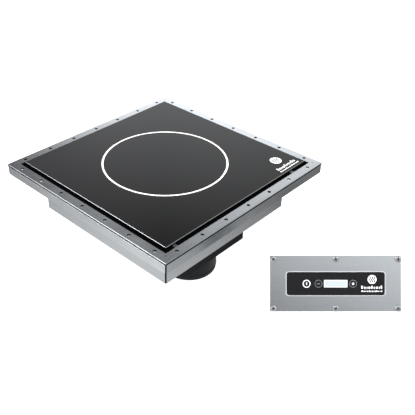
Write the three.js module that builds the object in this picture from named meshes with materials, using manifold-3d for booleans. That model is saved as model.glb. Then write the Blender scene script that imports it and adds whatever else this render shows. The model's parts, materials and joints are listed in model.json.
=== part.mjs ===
// Drop-in induction hob with one cooking zone, and its separate control panel.
// Millimetres, +Z up. The origin is the centre of the flange's top face, which is the plane that the
// counter meets. The front of the hob, where its mark is read from, faces -Y.

import * as THREE from 'three';
import { mergeVertices } from 'three/addons/utils/BufferGeometryUtils.js';
import Module from 'manifold-3d';

const wasm = await Module();
wasm.setup();

// ---------- driving dimensions ----------

// Mounting frame: flange and down-turned skirt
const FRAME_SIDE = 400;
const FRAME_SHEET = 1.5;
const FRAME_BEND = 2.5;
const SKIRT_DEPTH = 20;
const FLANGE_WIDTH = 17;
const HOLE_D = 5;
const HOLE_EDGE = 9.4;
const HOLES_PER_SIDE = 7;
const HOLE_END = 32.8;
const PILOT_D = 2;
const PILOT_INSET = 13;
const CORNER_GAP = 0.8;
const CORNER_NOTCH = 3;

// Glass and its joint
const GLASS_GAP = 6;
const GLASS_T = 4;
const GLASS_BED = 1.7;
const GLASS_CORNER_R = 1.5;
const GLASS_ARRIS = 0.5;
const SEAL_BED_WIDTH = 12;
const SEAL_DIP = 0.5;
const SPACER_LENGTH = 7;
const SPACER_FROM_LEFT = 40;
const SPACER_FROM_RIGHT = 65;

// Casing under the flange
const CASING_INSET = 45.5;
const CASING_SHEET = 1.2;
const CASING_DEPTH = 94;
const CASING_RIM_OVERLAP = 4;
const CASING_LIP = 5.5;
const VENT_COUNT = 12;
const VENT_PITCH = 14;
const VENT_WIDTH = 5;
const VENT_HEIGHT = 36;
const VENT_TOP = 40;
const COVER_CLEARANCE = 0.3;

// Air inlet under the casing
const INLET_X = -43;
const BOX_LEFT_MARGIN = 17;
const BOX_RIGHT_MARGIN = 38.6;
const BOX_BACK_MARGIN = 6.6;
const BOX_DEPTH = 18;
const BOX_WALL = 1.5;
const BOX_TOP_GAP = 0.2;
const BOX_LIP = 9;
const SPIGOT_D = 96.8;
const SPIGOT_WALL = 2.5;
const SPIGOT_LENGTH = 33;
const SPIGOT_FIT = 0.3;
const SPIGOT_LUGS = 3;
const SPIGOT_LUG = [4, 12, 2];
const SPIGOT_BEAD = 0.8;

// Fan
const FAN_SIDE = 92;
const FAN_FROM_LIP = 0.8;
const FAN_HEIGHT = 25;
const FAN_RIM = 2.5;
const FAN_TIP_GAP = 1.5;
const FAN_HUB_D = 36;
const FAN_BLADES = 7;
const FAN_BLADE_T = 1.6;
const FAN_BLADE_LEAN = 38;
const FAN_STRUTS = 4;
const FAN_AXLE_D = 4;
const GUARD_WIRE = 1.6;
const GUARD_OVERLAP = 1;
const GUARD_RINGS = 3;

// Coil stack, from the glass down
const COIL_OUTER_D = 210;
const COIL_INNER_D = 44;
const COIL_T = 5;
const COIL_TURN_BANDS = 5;
const MICA_T = 0.5;
const FERRITE = [16, 70, 5];
const FERRITES = 4;
const SUPPORT_T = 4;
const STACK_GAP = 0.3;
const SENSOR_D = 14;
const SENSOR_T = 14;
const SPRING_COUNT = 3;
const SPRING_D = 11;
const SPRING_WIRE = 1.4;
const SPRING_TURNS = 3;
const SPRING_PCD = 150;
const TRAY_CLEARANCE = 9.3;
const TRAY_SHEET = 2;
const TRAY_TOP = 34;
const TRAY_VENT_D = 60;
const TRAY_LEG_WIDTH = 22;

// Electronics on the bottom cover
const BOARD = [212, 166, 1.6];
const BOARD_FROM_RIGHT = 25;
const BOARD_FROM_REAR = 18;
const BOARD_TRAY_WALL = 2;
const BOARD_LIFT = 6;
const HEATSINK = [70, 84, 30];
const HEATSINK_FINS = 9;
const HEATSINK_BASE = 6;
const CHIP = [16, 20, 5];

// Rear wall connections
const WALL_FIT = 0.3;
const GLAND_X = -104;
const GLAND_D = 20;
const GLAND_BORE_D = 11;
const SOCKET_X = 108;
const SOCKET = [22, 16, 14];
const EARTH_X = 134;
const EARTH_D = 6;
const CONNECTION_HEIGHT = 18.8;

// Control panel, leaning back in front of the hob with its foot just below the spigot
const PANEL_CENTRE_X = 56;
const PANEL_CENTRE_Y = -336;
const PANEL_BELOW_SPIGOT = 7;
const PANEL_LEAN = 31.4;
const PANEL_TURN = 45.5;
const PANEL_W = 214;
const PANEL_H = 91;
const PANEL_SHEET = 1.5;
const PANEL_CORNER_R = 1.5;
const PANEL_PAD_T = 0.2;
const PANEL_PAD_MARGIN = 1;
const TURNED_GAP = 0.3;
const SCREW_HEAD_D = 9.6;
const SCREW_HEAD_H = 2;
const SCREW_SHANK_D = 4;
const SCREW_LENGTH = 6;
const SCREW_EDGE = 5.3;
const LABEL_W = 160;
const LABEL_H = 37.6;
const LABEL_R = 4;
const LABEL_T = 0.6;
const LABEL_BORDER = 7;
const DISPLAY_W = 39.4;
const DISPLAY_H = 13.2;
const LCD_MARGIN = 1.2;
const KEY_FROM_DISPLAY = 2;
const POWER_FROM_MINUS = 5.8;
const POWER_KEY_D = 14.2;
const STEP_KEY_D = 13;
const KEY_PROUD = 0.3;
const KEY_T = 2.2;
const KEY_STEM_D = 5;
const KEY_STEM_LENGTH = 2.4;
const KEY_TRAVEL = 0.4;
const KEY_FIT = 0.3;
const BACK_BOX_W = 172;
const BACK_BOX_H = 51;
const BACK_BOX_DEPTH = 30;
const BACK_BOX_WALL = 1.2;
const GROMMET_D = 14;
const GROMMET_LIP = 2.2;
const GROMMET_FROM_SIDE = 13;
const PANEL_BOARD_T = 1.6;
const PANEL_BOARD_GAP = 4;
const SWITCH_SIDE = 6;
const SWITCH_PLUNGER_D = 3;

// ---------- derived sizes and levels ----------

const HALF_FRAME = FRAME_SIDE / 2;
const HALF_OPENING = HALF_FRAME - FLANGE_WIDTH;
const GLASS_SIDE = 2 * (HALF_OPENING - GLASS_GAP);
const HALF_GLASS = GLASS_SIDE / 2;
const HALF_CASING = HALF_FRAME - CASING_INSET;
const HALF_RIM = HALF_OPENING + CASING_RIM_OVERLAP;
const CASING_INSIDE = HALF_CASING - CASING_SHEET;
const RIM_TOP = -FRAME_SHEET;
const GLASS_BOTTOM = RIM_TOP + GLASS_BED;
const GLASS_TOP = GLASS_BOTTOM + GLASS_T;
const CASING_BOTTOM = -CASING_DEPTH;
const COVER_TOP = CASING_BOTTOM + CASING_SHEET;
const LIP_TOP = COVER_TOP + CASING_SHEET;
const COVER_HALF = CASING_INSIDE - COVER_CLEARANCE;
const INLET_Y = -CASING_INSIDE + CASING_LIP + FAN_FROM_LIP + FAN_SIDE / 2;
const SPIGOT_R = SPIGOT_D / 2;
const FAN_BORE_D = FAN_SIDE - 2 * FAN_RIM;
const GUARD_R = FAN_BORE_D / 2 + GUARD_OVERLAP;
const INLET_R = Math.max(SPIGOT_R + SPIGOT_FIT, GUARD_R);
const BOX_TOP = CASING_BOTTOM - BOX_TOP_GAP;
const BOX_BOTTOM = CASING_BOTTOM - BOX_DEPTH;
const BOX_LEFT = INLET_X - INLET_R - BOX_LEFT_MARGIN;
const BOX_RIGHT = INLET_X + INLET_R + BOX_RIGHT_MARGIN;
const BOX_BACK = INLET_Y + INLET_R + BOX_BACK_MARGIN;
const BOX_FRONT = INLET_Y - INLET_R - BOX_WALL - 0.1;
const SPIGOT_BOTTOM = BOX_BOTTOM - SPIGOT_LENGTH;
const FAN_BOTTOM = COVER_TOP;
const FAN_TOP = FAN_BOTTOM + FAN_HEIGHT;
const FAN_R = FAN_BORE_D / 2 - FAN_TIP_GAP;
const MICA_TOP = -STACK_GAP;
const COIL_TOP = MICA_TOP - MICA_T - STACK_GAP;
const FERRITE_TOP = COIL_TOP - COIL_T - STACK_GAP;
const SUPPORT_TOP = FERRITE_TOP - FERRITE[2] - STACK_GAP;
const SUPPORT_BOTTOM = SUPPORT_TOP - SUPPORT_T;
const TRAY_TOP_Z = -TRAY_TOP;
const TRAY_BOTTOM_Z = TRAY_TOP_Z - TRAY_SHEET;
const HALF_TRAY = CASING_INSIDE - TRAY_CLEARANCE;
const CONNECTION_Z = COVER_TOP + CONNECTION_HEIGHT;
const BOARD_X = CASING_INSIDE - BOARD_FROM_RIGHT - BOARD[0] / 2;
const BOARD_Y = CASING_INSIDE - BOARD_FROM_REAR - BOARD[1] / 2;
const BOARD_BOTTOM = COVER_TOP + BOARD_LIFT;
const BOARD_TOP = BOARD_BOTTOM + BOARD[2];

// ---------- helpers ----------

const RADIANS = Math.PI / 180;
const hob = new THREE.Group();

/** Turns a geometry into a solid that can be cut and joined. */
function solid(geometry) {
  const bare = geometry.clone();
  bare.deleteAttribute('normal');
  bare.deleteAttribute('uv');
  const merged = mergeVertices(bare, 1e-4);
  const mesh = new wasm.Mesh({
    numProp: 3,
    vertProperties: new Float32Array(merged.attributes.position.array),
    triVerts: new Uint32Array(merged.index.array),
  });
  return new wasm.Manifold(mesh);
}

/** Turns a solid back into a geometry. */
function geometryOf(manifold) {
  const mesh = manifold.getMesh();
  const geometry = new THREE.BufferGeometry();
  geometry.setAttribute('position', new THREE.BufferAttribute(new Float32Array(mesh.vertProperties), 3));
  geometry.setIndex(new THREE.BufferAttribute(new Uint32Array(mesh.triVerts), 1));
  geometry.computeVertexNormals();
  return geometry;
}

/** Cuts tools out of a body geometry. */
function cut(body, tools) {
  let result = solid(body);
  for (const tool of tools) {
    result = result.subtract(solid(tool));
  }
  return geometryOf(result);
}

/** Joins geometries into one. */
function join(pieces) {
  let result = solid(pieces[0]);
  for (const piece of pieces.slice(1)) {
    result = result.add(solid(piece));
  }
  return geometryOf(result);
}

/** Box between two corners. */
function box([x0, y0, z0], [x1, y1, z1]) {
  const geometry = new THREE.BoxGeometry(x1 - x0, y1 - y0, z1 - z0);
  return geometry.translate((x0 + x1) / 2, (y0 + y1) / 2, (z0 + z1) / 2);
}

/** Upright cylinder with its foot at z0 and its head at z1. */
function cylinder(radius, z0, z1, x = 0, y = 0, sides = 24) {
  const geometry = new THREE.CylinderGeometry(radius, radius, z1 - z0, sides);
  return geometry.rotateX(Math.PI / 2).translate(x, y, (z0 + z1) / 2);
}

/** Round ring or tube, whose profile is [radius, z] points that close on themselves. */
function turned(profile, sides = 32) {
  const points = [...profile, profile[0]].map(([radius, z]) => new THREE.Vector2(radius, z));
  return outward(new THREE.LatheGeometry(points, sides).rotateX(Math.PI / 2));
}

/** Square ring with mitred corners, whose profile is [half width, z] points that close on themselves. */
function squareRing(profile) {
  const corner = Math.SQRT2;
  const points = [...profile, profile[0]].map(([half, z]) => new THREE.Vector2(half * corner, z));
  return outward(new THREE.LatheGeometry(points, 4, Math.PI / 4).rotateX(Math.PI / 2));
}

/** Flips a closed geometry whose faces point inwards, which shows as a negative volume. */
function outward(geometry) {
  const position = geometry.attributes.position;
  const index = geometry.index;
  const [a, b, c] = [new THREE.Vector3(), new THREE.Vector3(), new THREE.Vector3()];
  let volume = 0;
  for (let i = 0; i < index.count; i += 3) {
    a.fromBufferAttribute(position, index.getX(i));
    b.fromBufferAttribute(position, index.getX(i + 1));
    c.fromBufferAttribute(position, index.getX(i + 2));
    volume += a.dot(b.cross(c));
  }
  if (volume < 0) {
    for (let i = 0; i < index.count; i += 3) {
      const first = index.getX(i);
      index.setX(i, index.getX(i + 2));
      index.setX(i + 2, first);
    }
  }
  return geometry;
}

/** Rectangle with round corners, centred on x, y. */
function roundedRectangle(width, height, radius, x = 0, y = 0, Kind = THREE.Shape) {
  const [w, h] = [width / 2, height / 2];
  const shape = new Kind();
  shape.moveTo(x - w + radius, y - h);
  shape.lineTo(x + w - radius, y - h);
  shape.absarc(x + w - radius, y - h + radius, radius, -Math.PI / 2, 0);
  shape.lineTo(x + w, y + h - radius);
  shape.absarc(x + w - radius, y + h - radius, radius, 0, Math.PI / 2);
  shape.lineTo(x - w + radius, y + h);
  shape.absarc(x - w + radius, y + h - radius, radius, Math.PI / 2, Math.PI);
  shape.lineTo(x - w, y - h + radius);
  shape.absarc(x - w + radius, y - h + radius, radius, Math.PI, 1.5 * Math.PI);
  return shape;
}

/** Round hole for a shape. */
function roundHole(x, y, diameter) {
  const path = new THREE.Path();
  path.absarc(x, y, diameter / 2, 0, 2 * Math.PI);
  return path;
}

/** Flat plate of a shape from z0 to z1. */
function plate(shape, z0, z1, curveSegments = 4) {
  const geometry = new THREE.ExtrudeGeometry(shape, { depth: z1 - z0, bevelEnabled: false, curveSegments });
  return geometry.translate(0, 0, z0);
}

/** Adds a named piece to a group. */
function add(group, name, geometry, material, x = 0, y = 0, z = 0) {
  const mesh = new THREE.Mesh(geometry, material.clone());
  mesh.name = name;
  mesh.position.set(x, y, z);
  group.add(mesh);
  return mesh;
}

function finish(color, roughness, metalness) {
  return new THREE.MeshStandardMaterial({ color, roughness, metalness });
}

const STEEL = finish(0xa9acb0, 0.38, 1);
const BRIGHT_STEEL = finish(0xd4d6d8, 0.2, 1);
const GLASS_BLACK = finish(0x0d0d0f, 0.08, 0);
const SEALANT = finish(0x08080a, 0.6, 0);
const BLACK_PLASTIC = finish(0x23272a, 0.5, 0);
const ALUMINIUM = finish(0xb8babd, 0.45, 1);
const COPPER = finish(0xa86437, 0.4, 1);
const FERRITE_GREY = finish(0x3a3b3d, 0.7, 0);
const MICA = finish(0xc2b8a0, 0.6, 0);
const BOARD_GREEN = finish(0x1d5a38, 0.5, 0);
const CREAM = finish(0xd8d2bf, 0.5, 0);
const BRASS = finish(0xb89a54, 0.35, 1);
const LABEL_BLACK = finish(0x141416, 0.35, 0);
const DISPLAY = finish(0xd9eef2, 0.15, 0);

// ---------- mounting frame ----------

/** Positions along one side of the flange holes. */
function flangeHolePlaces() {
  const first = -HALF_FRAME + HOLE_END;
  const pitch = (FRAME_SIDE - 2 * HOLE_END) / (HOLES_PER_SIDE - 1);
  return Array.from({ length: HOLES_PER_SIDE }, (_, i) => first + i * pitch);
}

function mountingFrame() {
  const bendSteps = 4;
  const innerBend = FRAME_BEND - FRAME_SHEET;
  const profile = [[HALF_FRAME - FRAME_SHEET, -SKIRT_DEPTH], [HALF_FRAME, -SKIRT_DEPTH]];
  for (let i = 0; i <= bendSteps; i += 1) {
    const angle = (i / bendSteps) * Math.PI / 2;
    const centre = HALF_FRAME - FRAME_BEND;
    profile.push([centre + FRAME_BEND * Math.cos(angle), -FRAME_BEND + FRAME_BEND * Math.sin(angle)]);
  }
  profile.push([HALF_OPENING, 0], [HALF_OPENING, -FRAME_SHEET]);
  profile.push([HALF_FRAME - FRAME_BEND, -FRAME_SHEET]);
  profile.push([HALF_FRAME - FRAME_SHEET, -FRAME_SHEET - innerBend]);

  const tools = [];
  const [below, above] = [-FRAME_SHEET - 1, 1];
  const row = HALF_FRAME - HOLE_EDGE;
  for (const place of flangeHolePlaces()) {
    for (const [x, y] of [[place, -row], [place, row], [-row, place], [row, place]]) {
      tools.push(cylinder(HOLE_D / 2, below, above, x, y, 10));
    }
  }
  const pilot = HALF_FRAME - PILOT_INSET;
  const reach = 3 * FRAME_BEND;
  for (const [sx, sy] of [[-1, -1], [1, -1], [1, 1], [-1, 1]]) {
    tools.push(cylinder(PILOT_D / 2, below, above, sx * pilot, sy * pilot, 6));
    const slot = box([-reach, -CORNER_GAP / 2, -SKIRT_DEPTH - 1], [reach, CORNER_GAP / 2, -FRAME_BEND]);
    tools.push(slot.rotateZ(Math.atan2(sy, sx)).translate(sx * HALF_FRAME, sy * HALF_FRAME, 0));
    const notch = box([-reach, -CORNER_NOTCH / 2, -SKIRT_DEPTH - 1],
      [reach, CORNER_NOTCH / 2, -SKIRT_DEPTH + CORNER_NOTCH]);
    tools.push(notch.rotateZ(Math.atan2(sy, sx)).translate(sx * HALF_FRAME, sy * HALF_FRAME, 0));
  }
  add(hob, 'mounting_frame', cut(squareRing(profile), tools), STEEL);
}

// ---------- glass and joint ----------

function glassTop() {
  const inner = GLASS_SIDE - 2 * GLASS_ARRIS;
  const shape = roundedRectangle(inner, inner, GLASS_CORNER_R);
  const geometry = new THREE.ExtrudeGeometry(shape, {
    depth: GLASS_T - 2 * GLASS_ARRIS,
    bevelThickness: GLASS_ARRIS,
    bevelSize: GLASS_ARRIS,
    bevelSegments: 1,
    curveSegments: 4,
  });
  add(hob, 'glass_plate', geometry, GLASS_BLACK, 0, 0, GLASS_BOTTOM + GLASS_ARRIS);

  const outer = HALF_OPENING - 0.1;
  const beside = HALF_GLASS + 0.2;
  const seal = squareRing([
    [HALF_GLASS - SEAL_BED_WIDTH, RIM_TOP],
    [outer, RIM_TOP],
    [outer, -SEAL_DIP],
    [beside, -SEAL_DIP],
    [beside, GLASS_BOTTOM],
    [HALF_GLASS - SEAL_BED_WIDTH, GLASS_BOTTOM],
  ]);
  const places = { glass_spacer_1: SPACER_FROM_LEFT - HALF_FRAME, glass_spacer_2: HALF_FRAME - SPACER_FROM_RIGHT };
  const pockets = [];
  const [low, high] = [-SEAL_DIP - 0.5, GLASS_TOP - 2.2];
  const [near, far] = [-HALF_OPENING + 0.3, -HALF_GLASS - 0.3];
  for (const [name, x] of Object.entries(places)) {
    const half = SPACER_LENGTH / 2;
    pockets.push(box([x - half - 0.1, near - 0.1, low - 0.1], [x + half + 0.1, far + 0.1, high]));
    const clip = new THREE.Shape();
    clip.moveTo(near, low);
    clip.lineTo(far, low);
    clip.lineTo(far, high);
    clip.lineTo(far - 1, high);
    clip.lineTo(far - 1, low + 1);
    clip.lineTo(near, low + 1);
    const strip = new THREE.ExtrudeGeometry(clip, { depth: SPACER_LENGTH, bevelEnabled: false });
    strip.rotateX(Math.PI / 2).rotateZ(Math.PI / 2);
    add(hob, name, strip, BRIGHT_STEEL, x - half, 0, 0);
  }
  add(hob, 'glass_seal', cut(seal, pockets), SEALANT);
}

// ---------- casing ----------

function casing() {
  const body = squareRing([
    [HALF_RIM, RIM_TOP],
    [HALF_RIM, RIM_TOP - CASING_SHEET],
    [HALF_CASING, RIM_TOP - CASING_SHEET],
    [HALF_CASING, CASING_BOTTOM],
    [CASING_INSIDE, CASING_BOTTOM],
    [CASING_INSIDE, COVER_TOP],
    [CASING_INSIDE - CASING_LIP, COVER_TOP],
    [CASING_INSIDE - CASING_LIP, LIP_TOP],
    [CASING_INSIDE, LIP_TOP],
    [CASING_INSIDE, RIM_TOP],
  ]);
  const tools = [];
  const [inside, outside] = [CASING_INSIDE - 2, HALF_CASING + 2];
  for (let i = 0; i < VENT_COUNT; i += 1) {
    const x = (i - (VENT_COUNT - 1) / 2) * VENT_PITCH;
    tools.push(box([x - VENT_WIDTH / 2, inside, -VENT_TOP - VENT_HEIGHT],
      [x + VENT_WIDTH / 2, outside, -VENT_TOP]));
  }
  const round = (x, diameter) => cylinder(diameter / 2, -outside, -inside, 0, 0, 16)
    .rotateX(Math.PI / 2).translate(x, 0, CONNECTION_Z);
  tools.push(round(GLAND_X, GLAND_D + 2 * WALL_FIT));
  tools.push(round(EARTH_X, EARTH_D + 2 * WALL_FIT));
  const [w, h] = [SOCKET[0] / 2 + WALL_FIT, SOCKET[2] / 2 + WALL_FIT];
  tools.push(box([SOCKET_X - w, inside, CONNECTION_Z - h], [SOCKET_X + w, outside, CONNECTION_Z + h]));
  add(hob, 'casing_tub', cut(body, tools), STEEL);

  const cover = box([-COVER_HALF, -COVER_HALF, CASING_BOTTOM], [COVER_HALF, COVER_HALF, COVER_TOP]);
  const inlet = cylinder(FAN_BORE_D / 2 + 0.5, CASING_BOTTOM - 1, COVER_TOP + 1, INLET_X, INLET_Y, 28);
  add(hob, 'bottom_cover', cut(cover, [inlet]), STEEL);
}

// ---------- air inlet ----------

function airInlet() {
  const [bottom, top] = [BOX_BOTTOM, BOX_TOP];
  const outer = box([BOX_LEFT, BOX_FRONT, bottom], [BOX_RIGHT, BOX_BACK, top]);
  const hollow = box([BOX_LEFT + BOX_WALL, BOX_FRONT + BOX_WALL, bottom + BOX_WALL],
    [BOX_RIGHT - BOX_WALL, BOX_BACK - BOX_WALL, top + 1]);
  const hole = cylinder(SPIGOT_R + SPIGOT_FIT, bottom - 1, bottom + BOX_WALL + 1, INLET_X, INLET_Y, 32);
  const lip = box([BOX_LEFT - BOX_LIP, BOX_BACK - 1, top - BOX_WALL], [BOX_RIGHT, BOX_BACK + BOX_LIP, top]);
  const side = box([BOX_LEFT - BOX_LIP, BOX_FRONT, top - BOX_WALL], [BOX_LEFT + 1, BOX_BACK + BOX_LIP, top]);
  add(hob, 'fan_box', cut(join([outer, lip, side]), [hollow, hole]), BLACK_PLASTIC);

  const seat = bottom + BOX_WALL + 0.1;
  const inner = SPIGOT_R - SPIGOT_WALL;
  const [reach, width, height] = SPIGOT_LUG;
  const pieces = [turned([
    [inner, SPIGOT_BOTTOM],
    [SPIGOT_R, SPIGOT_BOTTOM],
    [SPIGOT_R, SPIGOT_BOTTOM + 5],
    [SPIGOT_R + SPIGOT_BEAD, SPIGOT_BOTTOM + 6.5],
    [SPIGOT_R, SPIGOT_BOTTOM + 8],
    [SPIGOT_R, seat + height],
    [inner, seat + height],
  ], 40)];
  for (let i = 0; i < SPIGOT_LUGS; i += 1) {
    const lug = box([SPIGOT_R - 1, -width / 2, seat], [SPIGOT_R + reach, width / 2, seat + height]);
    pieces.push(lug.rotateZ((i + 0.75) * 2 * Math.PI / SPIGOT_LUGS));
  }
  add(hob, 'air_spigot', join(pieces), BLACK_PLASTIC, INLET_X, INLET_Y);
}

// ---------- fan ----------

function fan() {
  const square = roundedRectangle(FAN_SIDE, FAN_SIDE, 5);
  square.holes.push(roundHole(0, 0, FAN_BORE_D));
  const strutTop = FAN_BOTTOM + 2;
  const hubR = FAN_HUB_D / 2 - 2;
  const pieces = [plate(square, FAN_BOTTOM, FAN_TOP, 9)];
  for (let i = 0; i < FAN_STRUTS; i += 1) {
    const strut = box([0, -2, FAN_BOTTOM], [FAN_BORE_D / 2 + 1, 2, strutTop]);
    pieces.push(strut.rotateZ((i + 0.5) * 2 * Math.PI / FAN_STRUTS));
  }
  pieces.push(cylinder(hubR, FAN_BOTTOM, strutTop, 0, 0, 20));
  pieces.push(cylinder(FAN_AXLE_D / 2, FAN_BOTTOM, FAN_TOP - 8, 0, 0, 12));
  add(hob, 'fan_housing', join(pieces), BLACK_PLASTIC, INLET_X, INLET_Y);

  const low = strutTop + 1.5;
  const high = FAN_TOP - 2;
  const bore = FAN_AXLE_D / 2 + 0.3;
  const hub = turned([
    [bore, low + 1],
    [FAN_HUB_D / 2, low],
    [FAN_HUB_D / 2, high - 2],
    [FAN_HUB_D / 2 - 2, high],
    [0, high],
    [0, FAN_TOP - 7],
    [bore, FAN_TOP - 7],
  ], 21);
  const blades = [hub];
  for (let i = 0; i < FAN_BLADES; i += 1) {
    const blade = new THREE.BoxGeometry(FAN_R - FAN_HUB_D / 2 + 3, FAN_BLADE_T, (high - low) * 1.15, 1, 1, 1);
    blade.rotateX(FAN_BLADE_LEAN * RADIANS);
    blade.translate((FAN_R + FAN_HUB_D / 2 - 3) / 2, 0, (low + high) / 2);
    blades.push(blade.rotateZ(i * 2 * Math.PI / FAN_BLADES));
  }
  const sweep = cylinder(FAN_R, low, high, 0, 0, 28);
  const rotor = solid(join(blades)).intersect(solid(sweep));
  add(hob, 'fan_rotor', geometryOf(rotor), BLACK_PLASTIC, INLET_X, INLET_Y);

  const guardTop = CASING_BOTTOM - 0.3;
  const rings = [];
  for (let i = 1; i <= GUARD_RINGS; i += 1) {
    const r = GUARD_R * i / GUARD_RINGS;
    rings.push(turned([[r - GUARD_WIRE, guardTop - GUARD_WIRE], [r, guardTop - GUARD_WIRE],
      [r, guardTop], [r - GUARD_WIRE, guardTop]], 20));
  }
  for (const angle of [0, 90]) {
    const spoke = box([-GUARD_R, -GUARD_WIRE / 2, guardTop - 2 * GUARD_WIRE],
      [GUARD_R, GUARD_WIRE / 2, guardTop - GUARD_WIRE / 2]);
    rings.push(spoke.rotateZ(angle * RADIANS));
  }
  add(hob, 'fan_guard', join(rings), BRIGHT_STEEL, INLET_X, INLET_Y);
}

// ---------- coil stack ----------

function coilStack() {
  const coilR = COIL_OUTER_D / 2;
  const innerR = COIL_INNER_D / 2;
  const sheet = turned([[SENSOR_D / 2 + 2, MICA_TOP - MICA_T], [coilR + 5, MICA_TOP - MICA_T],
    [coilR + 5, MICA_TOP], [SENSOR_D / 2 + 2, MICA_TOP]], 28);
  add(hob, 'mica_sheet', sheet, MICA);

  const profile = [[innerR, COIL_TOP - COIL_T], [coilR, COIL_TOP - COIL_T]];
  const band = (coilR - innerR) / COIL_TURN_BANDS;
  const groove = 1.2;
  for (let i = COIL_TURN_BANDS; i > 0; i -= 1) {
    profile.push([innerR + i * band, COIL_TOP - groove], [innerR + (i - 0.5) * band, COIL_TOP]);
  }
  profile.push([innerR, COIL_TOP - groove]);
  add(hob, 'induction_coil', turned(profile, 30), COPPER);

  for (let i = 0; i < FERRITES; i += 1) {
    const bar = box([innerR + 8, -FERRITE[0] / 2, FERRITE_TOP - FERRITE[2]],
      [innerR + 8 + FERRITE[1], FERRITE[0] / 2, FERRITE_TOP]);
    add(hob, `ferrite_bar_${i + 1}`, bar, FERRITE_GREY).rotation.z = (i + 0.5) * 2 * Math.PI / FERRITES;
  }

  const support = new THREE.Shape();
  support.absarc(0, 0, coilR, 0, 2 * Math.PI);
  support.holes.push(roundHole(0, 0, COIL_INNER_D - 8));
  add(hob, 'coil_support', plate(support, SUPPORT_BOTTOM, SUPPORT_TOP, 14), CREAM);

  const sensor = turned([
    [0, -SENSOR_T],
    [SENSOR_D / 2 - 2, -SENSOR_T],
    [SENSOR_D / 2 - 2, -3],
    [SENSOR_D / 2, -3],
    [SENSOR_D / 2, -STACK_GAP],
    [0, -STACK_GAP],
  ], 14);
  add(hob, 'temperature_sensor', sensor, CREAM);

  const wireR = SPRING_WIRE / 2;
  const [foot, head] = [TRAY_TOP_Z + wireR + 0.2, SUPPORT_BOTTOM - wireR - 0.2];
  const stepsPerTurn = 7;
  const helix = Array.from({ length: SPRING_TURNS * stepsPerTurn + 1 }, (_, i) => {
    const angle = (i / stepsPerTurn) * 2 * Math.PI;
    const height = foot + (head - foot) * i / (SPRING_TURNS * stepsPerTurn);
    const r = SPRING_D / 2 - wireR;
    return new THREE.Vector3(r * Math.cos(angle), r * Math.sin(angle), height);
  });
  const wire = new THREE.Shape();
  wire.absarc(0, 0, wireR, 0, 2 * Math.PI);
  for (let i = 0; i < SPRING_COUNT; i += 1) {
    const spring = new THREE.ExtrudeGeometry(wire, {
      steps: SPRING_TURNS * stepsPerTurn,
      curveSegments: 3,
      bevelEnabled: false,
      extrudePath: new THREE.CatmullRomCurve3(helix),
    });
    const angle = (i + 0.25) * 2 * Math.PI / SPRING_COUNT;
    const [x, y] = [SPRING_PCD / 2 * Math.cos(angle), SPRING_PCD / 2 * Math.sin(angle)];
    add(hob, `coil_spring_${i + 1}`, spring, BRIGHT_STEEL, x, y);
  }
}

function coilTray() {
  const half = HALF_TRAY;
  const pieces = [plate(roundedRectangle(2 * half, 2 * half, 2), TRAY_BOTTOM_Z, TRAY_TOP_Z)];
  for (const sx of [-1, 1]) {
    for (const sy of [-1, 1]) {
      const [x0, x1] = [sx * (half - TRAY_SHEET), sx * half].sort((a, b) => a - b);
      const [y0, y1] = [sy * (half - TRAY_LEG_WIDTH), sy * half].sort((a, b) => a - b);
      pieces.push(box([x0, y0, COVER_TOP], [x1, y1, TRAY_TOP_Z - TRAY_SHEET / 2]));
    }
  }
  const vent = cylinder(TRAY_VENT_D / 2, TRAY_BOTTOM_Z - 1, TRAY_TOP_Z + 1, 0, 0, 24);
  add(hob, 'coil_tray', cut(join(pieces), [vent]), ALUMINIUM);
}

// ---------- electronics ----------

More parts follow.
